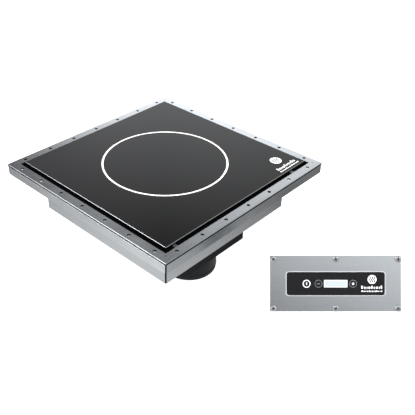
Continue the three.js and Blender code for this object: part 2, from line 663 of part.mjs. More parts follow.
function electronics() {
  const [w, d] = [BOARD[0] / 2, BOARD[1] / 2];
  const [x0, x1, y0, y1] = [BOARD_X - w, BOARD_X + w, BOARD_Y - d, BOARD_Y + d];
  const wall = BOARD_TRAY_WALL;
  const tray = box([x0 - wall, y0 - wall, COVER_TOP], [x1 + wall, y1 + wall, BOARD_TOP + 2]);
  const ledge = 4;
  const hollow = box([x0 + ledge, y0 + ledge, COVER_TOP + wall], [x1 - ledge, y1 - ledge, BOARD_TOP + 3]);
  const seat = box([x0 - 0.2, y0 - 0.2, BOARD_BOTTOM - 0.1], [x1 + 0.2, y1 + 0.2, BOARD_TOP + 3]);
  add(hob, 'board_tray', cut(tray, [hollow, seat]), CREAM);
  add(hob, 'power_board', box([x0, y0, BOARD_BOTTOM], [x1, y1, BOARD_TOP]), BOARD_GREEN);

  const floor = BOARD_TOP + 0.2;
  const sinkX = Math.max(INLET_X, x0 + ledge + HEATSINK[0] / 2 + 1);
  const sinkY = y0 + HEATSINK[1] / 2 + 4;
  const gap = HEATSINK[0] / (2 * HEATSINK_FINS - 1);
  const fins = new THREE.Shape();
  fins.moveTo(-HEATSINK[0] / 2, 0);
  fins.lineTo(HEATSINK[0] / 2, 0);
  for (let i = HEATSINK_FINS - 1; i >= 0; i -= 1) {
    const left = -HEATSINK[0] / 2 + 2 * i * gap;
    fins.lineTo(left + gap, HEATSINK[2]);
    fins.lineTo(left, HEATSINK[2]);
    if (i > 0) {
      fins.lineTo(left, HEATSINK_BASE);
      fins.lineTo(left - gap, HEATSINK_BASE);
    }
  }
  const sink = new THREE.ExtrudeGeometry(fins, { depth: HEATSINK[1], bevelEnabled: false });
  sink.rotateX(Math.PI / 2).translate(0, HEATSINK[1] / 2, 0);
  add(hob, 'heatsink', sink, ALUMINIUM, sinkX, sinkY, floor + CHIP[2] + 0.2);
  const chips = { transistor_1: -22, transistor_2: 0, rectifier: 22 };
  for (const [name, offset] of Object.entries(chips)) {
    const [cw, cd, ch] = CHIP;
    const body = box([-cw / 2, -cd / 2, 0], [cw / 2, cd / 2, ch]);
    const tab = box([-cw / 2 + 2, cd / 2 - 1, 1], [cw / 2 - 2, cd / 2 + 6, 2.5]);
    add(hob, name, join([body, tab]), LABEL_BLACK, sinkX + offset, sinkY, floor);
  }

  const film = (width, depth, height) => {
    const shape = roundedRectangle(width, depth, 2);
    return plate(shape, 0, height, 3);
  };
  const backRow = y1 - 26;
  const frontRow = y0 + 28;
  const rightColumn = x1 - 28;
  add(hob, 'resonant_capacitor', film(42, 28, 30), CREAM, BOARD_X - 55, backRow, floor);
  add(hob, 'filter_capacitor', film(36, 20, 26), CREAM, BOARD_X, backRow, floor);
  const choke = new THREE.TorusGeometry(13, 6, 7, 14);
  add(hob, 'filter_choke', choke, COPPER, rightColumn, frontRow, floor + 6.2);
  const block = box([-22, -12, 0], [22, 12, 12]);
  const step = box([-22, -2, 0], [22, 12, 20]);
  add(hob, 'terminal_block', join([block, step]), CREAM, rightColumn, backRow, floor);
}

// ---------- rear wall connections ----------

function rearConnections() {
  const toRear = (geometry) => geometry.rotateX(-Math.PI / 2);
  const flangeR = GLAND_D / 2 + 4;
  const nut = GLAND_D / 2 - 1;
  const bore = GLAND_BORE_D / 2;
  const face = HALF_CASING + WALL_FIT;
  const inner = CASING_INSIDE - WALL_FIT;
  const depth = face - inner;
  const gland = turned([
    [bore, -depth - 8],
    [GLAND_D / 2, -depth - 8],
    [GLAND_D / 2, 0],
    [flangeR, 0],
    [flangeR, 5],
    [nut, 5],
    [nut, 12],
    [nut - 2, 16],
    [bore, 16],
  ], 18);
  add(hob, 'mains_gland', toRear(gland), BLACK_PLASTIC, GLAND_X, face, CONNECTION_Z);

  const [w, d, h] = SOCKET;
  const shell = box([-w / 2, -depth - d, -h / 2], [w / 2, 1, h / 2]);
  const brim = box([-w / 2 - 3, 0, -h / 2 - 3], [w / 2 + 3, 2, h / 2 + 3]);
  const mouth = box([-w / 2 + 2, -d + 4, -h / 2 + 2], [w / 2 - 2, 4, h / 2 - 2]);
  add(hob, 'control_socket', cut(join([shell, brim]), [mouth]), BLACK_PLASTIC, SOCKET_X, face, CONNECTION_Z);

  const studR = EARTH_D / 2;
  const stud = turned([
    [0, -depth - 6],
    [studR, -depth - 6],
    [studR, 0],
    [studR + 3, 0],
    [studR + 3, 4],
    [studR, 4],
    [studR, 13],
    [0, 13],
  ], 12);
  add(hob, 'earth_stud', toRear(stud), BRASS, EARTH_X, face, CONNECTION_Z);
}

// ---------- control panel ----------

/** The panel's own frame: x to the right, y up the plate, z out of its face. */
function panelGroup() {
  const group = new THREE.Group();
  const lean = PANEL_LEAN * RADIANS;
  const rise = PANEL_H / 2 * Math.cos(lean) + PANEL_SHEET * Math.sin(lean);
  group.rotation.set(Math.PI / 2 - lean, 0, -PANEL_TURN * RADIANS, 'ZXY');
  group.position.set(PANEL_CENTRE_X, PANEL_CENTRE_Y, SPIGOT_BOTTOM - PANEL_BELOW_SPIGOT + rise);
  hob.add(group);
  return group;
}

const STEP_KEY_X = DISPLAY_W / 2 + KEY_FROM_DISPLAY + STEP_KEY_D / 2;
const POWER_KEY_X = -STEP_KEY_X - STEP_KEY_D / 2 - POWER_FROM_MINUS - POWER_KEY_D / 2;
const KEYS = {
  power: { x: POWER_KEY_X, diameter: POWER_KEY_D },
  minus: { x: -STEP_KEY_X, diameter: STEP_KEY_D },
  plus: { x: STEP_KEY_X, diameter: STEP_KEY_D },
};

function faceplate(panel) {
  const shape = roundedRectangle(PANEL_W, PANEL_H, PANEL_CORNER_R);
  const [right, top] = [PANEL_W / 2 - SCREW_EDGE, PANEL_H / 2 - SCREW_EDGE];
  const window = roundedRectangle(LABEL_W - 2 * LABEL_BORDER, LABEL_H - 2 * LABEL_BORDER, 1, 0, 0, THREE.Path);
  shape.holes.push(window);
  let number = 0;
  for (const y of [top, -top]) {
    for (const x of [-right, 0, right]) {
      number += 1;
      shape.holes.push(roundHole(x, y, SCREW_SHANK_D + 2 * TURNED_GAP));
      add(panel, `faceplate_screw_${number}`, screw(), BRIGHT_STEEL, x, y, TURNED_GAP);
    }
  }
  // The back box stands on a low pad, so the plate's back outside it is clear for the fascia.
  const pad = roundedRectangle(BACK_BOX_W + 2 * PANEL_PAD_MARGIN, BACK_BOX_H + 2 * PANEL_PAD_MARGIN, 2);
  pad.holes.push(window);
  const padded = join([plate(shape, -PANEL_SHEET, 0), plate(pad, -PANEL_SHEET - PANEL_PAD_T, -PANEL_SHEET / 2)]);
  add(panel, 'panel_faceplate', padded, STEEL);
}

/** Low dome-headed screw with a cross recess; z is 0 under its head. */
function screw() {
  const [head, shank] = [SCREW_HEAD_D / 2, SCREW_SHANK_D / 2];
  const body = turned([
    [0, -SCREW_LENGTH],
    [shank - 0.6, -SCREW_LENGTH],
    [shank, -SCREW_LENGTH + 0.8],
    [shank, 0],
    [head, 0],
    [head * 0.96, SCREW_HEAD_H * 0.45],
    [head * 0.72, SCREW_HEAD_H * 0.85],
    [0, SCREW_HEAD_H],
  ], 12);
  const half = head * 0.55;
  const slot = SCREW_HEAD_D * 0.06;
  const deep = SCREW_HEAD_H * 0.35;
  const across = box([-half, -slot, deep], [half, slot, SCREW_HEAD_H + 1]);
  const along = box([-slot, -half, deep], [slot, half, SCREW_HEAD_H + 1]);
  return cut(body, [join([across, along])]);
}

function keypad(panel) {
  const low = TURNED_GAP;
  const high = low + LABEL_T;
  const label = roundedRectangle(LABEL_W, LABEL_H, LABEL_R);
  const room = 2 * KEY_FIT;
  label.holes.push(roundedRectangle(DISPLAY_W + room, DISPLAY_H + room, 0.4, 0, 0, THREE.Path));
  const boardTop = -PANEL_SHEET - PANEL_BOARD_GAP;
  const stemEnd = high + KEY_PROUD - KEY_T - KEY_STEM_LENGTH;
  for (const [name, key] of Object.entries(KEYS)) {
    label.holes.push(roundHole(key.x, 0, key.diameter + room));
    const top = high + KEY_PROUD;
    const body = turned([
      [0, stemEnd],
      [KEY_STEM_D / 2, stemEnd],
      [KEY_STEM_D / 2, top - KEY_T],
      [key.diameter / 2, top - KEY_T],
      [key.diameter / 2, top - 0.3],
      [key.diameter / 2 - 0.4, top],
      [0, top],
    ], 20);
    add(panel, `${name}_key`, body, LABEL_BLACK, key.x);
    const half = SWITCH_SIDE / 2;
    const plungerTop = stemEnd - KEY_TRAVEL - 0.1;
    const base = box([-half, -half, boardTop + TURNED_GAP], [half, half, plungerTop - 0.4]);
    const plunger = cylinder(SWITCH_PLUNGER_D / 2, boardTop + TURNED_GAP + 0.1, plungerTop, 0, 0, 12);
    add(panel, `${name}_switch`, join([base, plunger]), BLACK_PLASTIC, key.x);
  }
  add(panel, 'keypad_label', plate(label, low, high, 6), LABEL_BLACK);

  const pane = roundedRectangle(DISPLAY_W, DISPLAY_H, 0.4);
  add(panel, 'display_window', plate(pane, low - 0.6, high - 0.1, 2), DISPLAY);
  const [w, h] = [DISPLAY_W / 2 + LCD_MARGIN, DISPLAY_H / 2 + LCD_MARGIN];
  const half = LABEL_H / 2 - LABEL_BORDER - TURNED_GAP;
  const tall = Math.min(h, half);
  add(panel, 'lcd_module', box([-w, -tall, boardTop + TURNED_GAP], [w, tall, low - 0.9]), CREAM);

  const inside = [BACK_BOX_W / 2 - BACK_BOX_WALL - 1, BACK_BOX_H / 2 - BACK_BOX_WALL - 1];
  const board = box([-inside[0], -inside[1], boardTop - PANEL_BOARD_T], [inside[0], inside[1], boardTop]);
  add(panel, 'panel_board', board, BOARD_GREEN);
}

function backBox(panel) {
  const front = -PANEL_SHEET - TURNED_GAP;
  const back = front - BACK_BOX_DEPTH;
  const [w, h] = [BACK_BOX_W / 2, BACK_BOX_H / 2];
  const outer = plate(roundedRectangle(BACK_BOX_W, BACK_BOX_H, 2), back, front);
  const wall = BACK_BOX_WALL;
  const hollow = box([-w + wall, -h + wall, back + wall], [w - wall, h - wall, front + 1]);
  const [x, y] = [w - GROMMET_FROM_SIDE, h - GROMMET_FROM_SIDE];
  const neck = GROMMET_D / 2 - GROMMET_LIP;
  const hole = cylinder(neck + TURNED_GAP, back - 1, back + wall + 1, x, y, 20);
  add(panel, 'panel_back_box', cut(outer, [hollow, hole]), STEEL);

  const rim = GROMMET_D / 2;
  const outside = -TURNED_GAP;
  const within = wall + TURNED_GAP;
  const grommet = turned([
    [0, outside - 1.2],
    [rim * 0.5, outside - 3],
    [rim, outside - 1.5],
    [rim, outside],
    [neck, outside],
    [neck, within],
    [rim, within],
    [rim, within + 1.5],
    [0, within + 1.5],
  ], 18);
  add(panel, 'panel_grommet', grommet, SEALANT, x, y, back);
}

// ---------- assembly ----------

mountingFrame();
glassTop();
casing();
airInlet();
fan();
coilStack();
coilTray();
electronics();
rearConnections();

const panel = panelGroup();
faceplate(panel);
keypad(panel);
backBox(panel);

export default hob;
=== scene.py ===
"""Studio model of a drop-in induction hob with its separate control panel, as a Blender add-on."""

import json
import math

import bmesh
import bpy
from bpy.props import FloatProperty, FloatVectorProperty, IntProperty, PointerProperty
from mathutils import Matrix, Vector
from mathutils.geometry import tessellate_polygon


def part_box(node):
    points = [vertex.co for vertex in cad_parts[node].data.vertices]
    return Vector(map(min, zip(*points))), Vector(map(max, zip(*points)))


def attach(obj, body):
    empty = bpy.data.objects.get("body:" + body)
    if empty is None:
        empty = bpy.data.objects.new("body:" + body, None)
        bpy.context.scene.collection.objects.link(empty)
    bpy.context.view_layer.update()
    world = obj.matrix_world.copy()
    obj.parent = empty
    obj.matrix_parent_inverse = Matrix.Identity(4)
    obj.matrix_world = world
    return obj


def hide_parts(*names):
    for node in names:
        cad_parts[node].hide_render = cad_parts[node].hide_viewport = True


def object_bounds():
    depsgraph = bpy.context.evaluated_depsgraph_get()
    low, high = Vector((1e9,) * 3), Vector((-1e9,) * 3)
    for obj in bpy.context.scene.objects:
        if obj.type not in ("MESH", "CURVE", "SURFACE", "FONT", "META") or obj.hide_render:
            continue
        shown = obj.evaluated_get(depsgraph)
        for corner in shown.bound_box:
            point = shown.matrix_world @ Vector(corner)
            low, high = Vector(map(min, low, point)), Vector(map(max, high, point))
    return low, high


bl_info = {
    "name": "Induction Hob Maker",
    "version": (1, 0, 0),
    "blender": (4, 5, 0),
    "location": "View3D > Sidebar > Induction Hob",
    "description": "Builds the detailed pieces and finishes of a drop-in induction hob and its control panel",
    "category": "Add Mesh",
}

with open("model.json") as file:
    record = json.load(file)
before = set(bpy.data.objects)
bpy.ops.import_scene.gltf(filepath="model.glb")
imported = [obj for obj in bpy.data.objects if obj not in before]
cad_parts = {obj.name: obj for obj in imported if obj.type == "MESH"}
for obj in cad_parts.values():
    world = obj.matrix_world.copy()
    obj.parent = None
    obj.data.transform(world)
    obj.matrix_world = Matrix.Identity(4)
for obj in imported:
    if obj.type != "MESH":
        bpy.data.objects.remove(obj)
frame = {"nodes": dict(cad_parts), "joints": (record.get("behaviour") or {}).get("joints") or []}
CAD_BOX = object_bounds()
MM = 0.001
ROOT = "root"


# ---------- measures taken from the fixed frame ----------

def joint_named(name):
    """The record's joint of that name."""
    return next(joint for joint in frame["joints"] if joint["name"] == name)


def panel_axes():
    """Matrix from the panel's own axes (x right, y up the plate, z out of its face) to the row frame."""
    out = -Vector(joint_named("power_press")["axis"]).normalized()
    right = Vector((0, 0, 1)).cross(out).normalized()
    up = out.cross(right)
    turn = Matrix((right, up, out)).transposed()
    spots = [turn.inverted() @ v.co for v in frame["nodes"]["panel_faceplate"].data.vertices]
    low = [min(spot[i] for spot in spots) for i in range(3)]
    high = [max(spot[i] for spot in spots) for i in range(3)]
    centre = turn @ Vector(((low[0] + high[0]) / 2, (low[1] + high[1]) / 2, high[2]))
    return Matrix.Translation(centre) @ turn.to_4x4()


PANEL = panel_axes()
PANEL_RIGHT, PANEL_UP, PANEL_OUT = (PANEL.to_3x3().col[i] for i in range(3))


def panel_box(node):
    """Lowest and highest corners of a CAD node in the panel's own axes."""
    back = PANEL.inverted()
    spots = [back @ v.co for v in frame["nodes"][node].data.vertices]
    return (Vector([min(spot[i] for spot in spots) for i in range(3)]),
            Vector([max(spot[i] for spot in spots) for i in range(3)]))


def middle(box):
    return (box[0] + box[1]) / 2


# ---------- sizes and colours that a user would change ----------

def length(name, description, millimetres):
    return FloatProperty(name=name, description=description, default=millimetres * MM,
                         min=0, unit="LENGTH", precision=5)


def colour(name, description, rgb):
    return FloatVectorProperty(name=name, description=description, default=rgb,
                               subtype="COLOR", size=3, min=0, max=1)


class HobFrameSizes(bpy.types.PropertyGroup):
    sheet: length("Sheet", "Thickness of the flange's sheet", 1.5)
    bend: length("Bend", "Outside radius of the flange's fold", 2.5)
    flange: length("Flange", "Width of the flange", 17)
    hole: length("Hole", "Diameter of a flange hole", 6)
    hole_edge: length("Hole edge", "Hole centre to the flange's edge", 9.4)
    hole_end: length("Hole end", "First hole centre to the corner", 32.8)
    holes: IntProperty(name="Holes", description="Holes along one side", default=7, min=1)
    pilot: length("Pilot", "Diameter of a corner pilot hole", 2)
    pilot_inset: length("Pilot inset", "Pilot hole to the two edges", 13)
    seam: length("Seam", "Open gap at a skirt corner", 2.4)
    lip: length("Lip", "Height of the flange's edge above its gasket", 1.3)
    # The groove under the flange's edge holds a near-black strip: painted shadow.
    shadow_strip: length("Gasket", "Height of the black gasket under the flange's edge", 2.7)
    shadow_strip_depth: length("Gasket depth", "How far the gasket lies back from the skirt", 0.45)
    notch: length("Notch", "Notch at the foot of a skirt corner", 3)


class HobTopSizes(bpy.types.PropertyGroup):
    corner: length("Corner", "Corner radius of the glass", 1.5)
    arris: length("Arris", "Ground edge of the glass", 0.85)
    ring_radius: length("Ring radius", "Outside radius of the zone ring", 113.3)
    ring_line: length("Ring line", "Width of the zone ring's line", 3.2)
    print_height: length("Print", "Height of the print over its ground", 0.04)
    mark_x: length("Mark right", "Mark centre to the right of the middle", 141.2)
    mark_y: length("Mark forward", "Mark centre in front of the middle", 140)
    mark_radius: length("Mark radius", "Radius of the printed mark", 10.6)


class HobPanelSizes(bpy.types.PropertyGroup):
    corner: length("Corner", "Corner radius of the plate", 1.5)
    label_corner: length("Label corner", "Corner radius of the label", 4)
    label_line: length("Label line", "Width of the label's bright outline", 1.5)
    power_ring: length("Power ring", "Diameter of the power key's ring", 12.8)
    power_line: length("Power line", "Width of the power key's ring", 1.45)
    step_ring: length("Step ring", "Diameter of a step key's ring", 12.4)
    step_line: length("Step line", "Width of a step key's ring", 0.8)
    screw_head: length("Screw head", "Diameter of a screw's head", 10.6)
    screw_rise: length("Screw rise", "Height of a screw's head", 2)


class HobColours(bpy.types.PropertyGroup):
    steel: colour("Steel", "Brushed stainless sheet", (0.60, 0.625, 0.645))
    plastic: colour("Plastic", "Black moulded plastic", (0.0055, 0.0075, 0.0095))
    glass: colour("Glass", "Black ceramic glass", (0.007, 0.007, 0.0073))
    label: colour("Label", "Black satin label", (0.008, 0.008, 0.009))
    print_white: colour("Print white", "White ceramic and screen print", (0.97, 0.97, 0.965))
    print_grey: colour("Print grey", "Grey print of the step keys", (0.20, 0.21, 0.22))
    display: colour("Display", "Pale display pane", (0.50, 0.565, 0.58))


class HobStage(bpy.types.PropertyGroup):
    overhead: FloatProperty(name="Overhead", description="Power of the overhead softbox in watts",
                            default=80, min=0)
    window: FloatProperty(name="Window", description="Strength of the soft window behind the hob",
                          default=1.55, min=0)
    room: FloatProperty(name="Room", description="Strength of the plain room light",
                        default=0.13, min=0)
    floor_side: FloatProperty(name="Floor", description="Side of the pale floor", default=24,
                              min=1, unit="LENGTH")


GROUPS = {
    "hob_frame": HobFrameSizes,
    "hob_top": HobTopSizes,
    "hob_panel": HobPanelSizes,
    "hob_colours": HobColours,
    "hob_stage": HobStage,
}


# ---------- node trees ----------

class Tree:
    """A node tree, and the one method that adds a node to it."""

    def __init__(self, tree):
        self.tree = tree

    def node(self, kind, settings=None, inputs=None, out=0):
        """Adds a node: its settings first, then its sockets' values or links. Returns output out."""
        made = self.tree.nodes.new(kind)
        for name, value in (settings or {}).items():
            if name == "stops":
                self.stops(made.color_ramp.elements, value)
            else:
                setattr(made, name, value)
        for name, value in (inputs or {}).items():
            if isinstance(value, Wire):
                self.tree.links.new(value.socket, made.inputs[name])
            else:
                made.inputs[name].default_value = value
        return Wire(self, made.outputs[out])

    @staticmethod
    def stops(elements, stops):
        while len(elements) < len(stops):
            elements.new(1)
        for element, (position, value) in zip(elements, stops):
            element.position = position
            element.color = (value, value, value, 1)


class Wire:
    """A socket that arithmetic works on: each operation adds its Math node."""

    def __init__(self, tree, socket):
        self.tree, self.socket = tree, socket

    def math(self, operation, *others, swap=False):
        values = [self, *others]
        if swap:
            values.reverse()
        return self.tree.node("ShaderNodeMath", {"operation": operation}, dict(enumerate(values)))

    def __add__(self, other):
        return self.math("ADD", other)

    __radd__ = __add__

    def __sub__(self, other):
        return self.math("SUBTRACT", other)

    def __rsub__(self, other):
        return self.math("SUBTRACT", other, swap=True)

    def __mul__(self, other):
        return self.math("MULTIPLY", other)

    __rmul__ = __mul__

    def __gt__(self, other):
        return self.math("GREATER_THAN", other)

    def within(self, low, high):
        """0 at low, 1 at high, and smooth in between."""
        return self.tree.node("ShaderNodeMapRange", {"interpolation_type": "SMOOTHSTEP"},
                              {"Value": self, "From Min": low, "From Max": high})

    def size(self):
        return self.math("ABSOLUTE")

    def at_least(self, low):
        return self.math("MAXIMUM", low)


class Finish(Tree):
    """A node material around one Principled shader, whose constants sit on the shader's own sockets."""

    def __init__(self, name, **constants):
        self.material = bpy.data.materials.new(name)
        self.material.use_nodes = True
        super().__init__(self.material.node_tree)
        self.shader = self.tree.nodes["Principled BSDF"]
        for socket, value in constants.items():
            self.shader.inputs[socket.replace("_", " ")].default_value = value
        self.place = self.node("ShaderNodeTexCoord", out="Object")

    def feed(self, socket, wire):
        self.tree.links.new(wire.socket, self.shader.inputs[socket])

    def along(self, direction):
        """How far a point lies along a direction, in metres."""
        return self.node("ShaderNodeVectorMath", {"operation": "DOT_PRODUCT"},
                         {0: self.place, 1: tuple(direction)}, out="Value")

    def outward(self):
        """How far a point lies from the middle, across a square, in metres."""
        return self.along((1, 0, 0)).size().math("MAXIMUM", self.along((0, 1, 0)).size())

    def noise(self, scale, detail=2.0, roughness=0.5, vector=None):
        return self.node("ShaderNodeTexNoise", {"noise_dimensions": "3D"},
                         {"Vector": vector or self.place, "Scale": scale, "Detail": detail,
                          "Roughness": roughness})

    def streaks(self, along, across, run, fine, detail=3.0):
        """Noise that is drawn out along one direction; run and fine are cells per metre."""
        vector = self.node("ShaderNodeCombineXYZ", inputs={0: along * run, 1: across * fine})
        return self.noise(1.0, detail, vector=vector)

    def between(self, amount, dark, light):
        """Colour that goes from dark to light with the amount."""
        return self.node("ShaderNodeMix", {"data_type": "RGBA", "clamp_factor": True},
                         {0: amount, 6: (*dark, 1), 7: (*light, 1)}, out=2)

    def over(self, surface, rgb, amount):
        """The surface with a plain colour laid over it by the amount."""
        return self.node("ShaderNodeMix", {"data_type": "RGBA"}, {0: amount, 6: surface, 7: (*rgb, 1)}, out=2)

    def bump(self, height, strength, distance):
        self.feed("Normal", self.node("ShaderNodeBump", inputs={
            "Height": height, "Strength": strength, "Distance": distance}))


def shade(rgb, factor):
    return tuple(min(1.0, channel * factor) for channel in rgb)


def brushed_steel(name, along, across, tone=1.0, roughness=0.26, contrast=0.5, mottle=0.3, painted_light_slope=None,
                  centre=(0, 0, 0), flange=None):
    """Stainless sheet with fine streaks along its grain, a faint mottle and a painted light gradient over its
    length.

    Given a direction for the light, the tone rises along it per metre from the centre: painted light, lighter
    where the sheet would catch more light. flange is the half width of a punched flange: the painted light
    keeps to its top, and the walls of its holes and its inner edge are painted near black as shade.
    """
    steel = shade(bpy.context.scene.hob_colours.steel, tone)
    finish = Finish(name, Metallic=1.0)
    if along is None:
        x, y = finish.along((1, 0, 0)), finish.along((0, 1, 0))
        side = x.size() > y.size()
        u, v = side * y + (1 - side) * x, side * x + (1 - side) * y
    else:
        u, v = finish.along(along), finish.along(across)
    z = finish.along((0, 0, 1)) if along is None else 0.0
    fine = finish.streaks(u, v + z, 14, 1500)
    broad = finish.streaks(u, v + z, 5, 260, 2)
    cloud = finish.noise(26, 3)
    amount = 0.5 + (fine - 0.5) * contrast + (broad - 0.5) * contrast * 0.35 + (cloud - 0.5) * mottle
    # Painted light: the tone rises along the given direction, lighter where the sheet would catch more light;
    # on a flange only on its top.
    if painted_light_slope:
        rise = finish.along(painted_light_slope) - Vector(centre).dot(Vector(painted_light_slope))
        top = z.within(-1.2 * MM, -0.8 * MM) if flange else 1.0
        amount = amount + rise * top
    surface = finish.between(amount, shade(steel, 0.66), shade(steel, 1.28))
    # Painted shade: the walls of the flange's holes and its inner edge are painted near black.
    if flange:
        painted_bore_shade = z.within(-0.10 * MM, -0.30 * MM) * (1 - z.within(-1.40 * MM, -1.46 * MM)) \
            * (1 - finish.outward().within(flange - 3.2 * MM, flange - 3.0 * MM))
        surface = finish.over(surface, (0.01, 0.01, 0.01), painted_bore_shade)
    finish.feed("Base Color", surface)
    finish.feed("Roughness", (broad - 0.5) * 0.14 + (cloud - 0.5) * 0.10 + roughness)
    finish.bump(fine, 0.22, 0.02 * MM)
    return finish


def moulded_plastic(name, rgb, roughness=0.48, grain=0.35, specular=0.28):
    """Moulded plastic with a fine spark-eroded grain and slightly uneven gloss."""
    finish = Finish(name, IOR=1.47, Specular_IOR_Level=specular)
    grit = finish.noise(2600, 2)
    cloud = finish.noise(30, 3)
    finish.feed("Base Color", finish.between(cloud, shade(rgb, 0.8), shade(rgb, 1.25)))
    finish.feed("Roughness", (cloud - 0.5) * 0.16 + (grit - 0.5) * 0.1 + roughness)
    finish.bump(grit, grain, 0.03 * MM)
    return finish


def bright_metal(name, rgb=(0.80, 0.81, 0.82), roughness=0.17, mottle=0.12):
    """Polished fastener metal with faint handling marks."""
    finish = Finish(name, Metallic=1.0)
    marks = finish.noise(420, 4, 0.6)
    finish.feed("Base Color", finish.between(marks, shade(rgb, 0.86), shade(rgb, 1.1)))
    finish.feed("Roughness", (marks - 0.5) * mottle + roughness)
    finish.bump(marks, 0.1, 0.02 * MM)
    return finish


def printed(name, rgb, roughness=0.4, glow=0.0):
    """Screen print: even ink with a very slight unevenness, and a glow that is painted light."""
    finish = Finish(name, IOR=1.4, Emission_Strength=glow)
    ink = finish.noise(900, 2)
    tone = finish.between(ink, shade(rgb, 0.95), shade(rgb, 1.04))
    finish.feed("Base Color", tone)
    finish.feed("Emission Color", tone)
    finish.feed("Roughness", (ink - 0.5) * 0.12 + roughness)
    return finish


def dusty(name, rgb, roughness=0.6, scale=400, contrast=0.25, metallic=0.0, specular=0.5):
    """Plain workshop finish: seals, the near-black pieces that paint shade, and the parts inside."""
    finish = Finish(name, Metallic=metallic, Specular_IOR_Level=specular)
    grit = finish.noise(scale, 3)
    finish.feed("Base Color", finish.between(grit, shade(rgb, 1 - contrast), shade(rgb, 1 + contrast)))
    finish.feed("Roughness", (grit - 0.5) * 0.2 + roughness)
    finish.bump(grit, 0.15, 0.05 * MM)
    return finish


# ---------- mesh making ----------

class Shape:
    """Points and faces that grow loop by loop into one closed mesh."""

    def __init__(self):
        self.points, self.faces = [], []

    def loop(self, points):
        start = len(self.points)
        self.points.extend(Vector(point) for point in points)
        return list(range(start, len(self.points)))

    def band(self, first, second):
        """Quads between two loops; a loop of one point is a pole."""
        count = max(len(first), len(second))
        for i in range(count):
            j = (i + 1) % count
            if len(first) == 1:
                self.faces.append((first[0], second[j], second[i]))
            elif len(second) == 1:
                self.faces.append((first[i], first[j], second[0]))
            else:
                self.faces.append((first[i], first[j], second[j], second[i]))

    def cap(self, loops):
        """Flat faces inside the first loop and outside the others."""
        flat = [index for loop in loops for index in loop]
        if len(loops) == 1:
            self.faces.append(tuple(flat))
            return
        for corners in tessellate_polygon([[self.points[i] for i in loop] for loop in loops]):
            self.faces.append(tuple(flat[i] for i in corners))

    def add(self, other, place=None):
        start = len(self.points)
        self.points.extend(place @ p if place else p.copy() for p in other.points)
        self.faces.extend(tuple(start + i for i in face) for face in other.faces)
        return self


def circle(radius, centre=(0, 0), count=32):
    """Outline that shrinks by an inset."""
    def outline(inset=0.0):
        r = radius - inset
        return [(centre[0] + r * math.cos(2 * math.pi * i / count),
                 centre[1] + r * math.sin(2 * math.pi * i / count)) for i in range(count)]
    return outline


def rounded(width, height, radius, centre=(0, 0), steps=6):
    """Rectangle with round corners, as an outline that shrinks by an inset."""
    def outline(inset=0.0):
        r = max(radius - inset, 0.02 * MM)
        w, h = width / 2 - inset - r, height / 2 - inset - r
        points = []
        for corner, (sx, sy) in enumerate(((1, -1), (1, 1), (-1, 1), (-1, -1))):
            start = (corner - 1) * math.pi / 2
            for i in range(steps + 1):
                angle = start + i / steps * math.pi / 2
                points.append((centre[0] + sx * w + r * math.cos(angle),
                               centre[1] + sy * h + r * math.sin(angle)))
        return points
    return outline


def cross(span, arm):
    """Plus sign, as an outline that shrinks by an inset."""
    def outline(inset=0.0):
        a, b = span / 2 - inset, arm / 2 - inset
        quarter = [(a, -b), (a, b), (b, b)]
        return [(x * c - y * s, x * s + y * c) for c, s in ((1, 0), (0, 1), (-1, 0), (0, -1))
                for x, y in quarter]
    return outline


def slab(outline, levels, holes=()):
    """Plate between levels of (height, inset); holes open out where the outline draws in."""
    shape = Shape()
    rims = [shape.loop([(x, y, z) for x, y in outline(inset)]) for z, inset in levels]
    bores = [[shape.loop([(x, y, z) for x, y in hole(-inset)]) for z, inset in levels] for hole in holes]
    for walls in [rims, *bores]:
        for lower, upper in zip(walls, walls[1:]):
            shape.band(lower, upper)
    for end in (0, -1):
        shape.cap([rims[end]] + [walls[end] for walls in bores])
    return shape


def edged(low, high, rim):
    """Levels of a plate whose two edges are rounded by the rim."""
    return [(low, rim), (low + rim * 0.3, rim * 0.3), (low + rim, 0),
            (high - rim, 0), (high - rim * 0.3, rim * 0.3), (high, rim)]


def lathe(profile, steps=48, centre=(0, 0)):
    """Turned body; the profile closes on itself unless it starts and ends on the axis."""
    shape = Shape()
    loops = []
    for radius, z in profile:
        if radius < 1e-7:
            loops.append(shape.loop([(*centre, z)]))
        else:
            loops.append(shape.loop([(x, y, z) for x, y in circle(radius, centre, steps)()]))
    for first, second in zip(loops, loops[1:]):
        shape.band(first, second)
    if len(loops[0]) > 1 or len(loops[-1]) > 1:
        shape.band(loops[-1], loops[0])
    return shape


def square_ring(profile, radius=None, steps=5):
    """Closed frame around a square; the profile is (half width, height) points that close."""
    shape = Shape()
    loops = []
    for half, z in profile:
        if radius is None:
            corners = [(half, -half), (half, half), (-half, half), (-half, -half)]
        else:
            corners = rounded(2 * half, 2 * half, radius(half), steps=steps)()
        loops.append(shape.loop([(x, y, z) for x, y in corners]))
    for first, second in zip(loops, loops[1:] + loops[:1]):
        shape.band(first, second)
    return shape


def block(low, high):
    """Plain box, used to cut and as a blank."""
    return slab(rounded(high[0] - low[0], high[1] - low[1], 0.02 * MM,
                        ((low[0] + high[0]) / 2, (low[1] + high[1]) / 2), 1),
                [(low[2], 0), (high[2], 0)])


def arc(centre, radius, start, end, steps=6):
    """Points of an arc in a profile, angles in degrees."""
    return [(centre[0] + radius * math.cos(math.radians(start + (end - start) * i / steps)),
             centre[1] + radius * math.sin(math.radians(start + (end - start) * i / steps)))
            for i in range(steps + 1)]


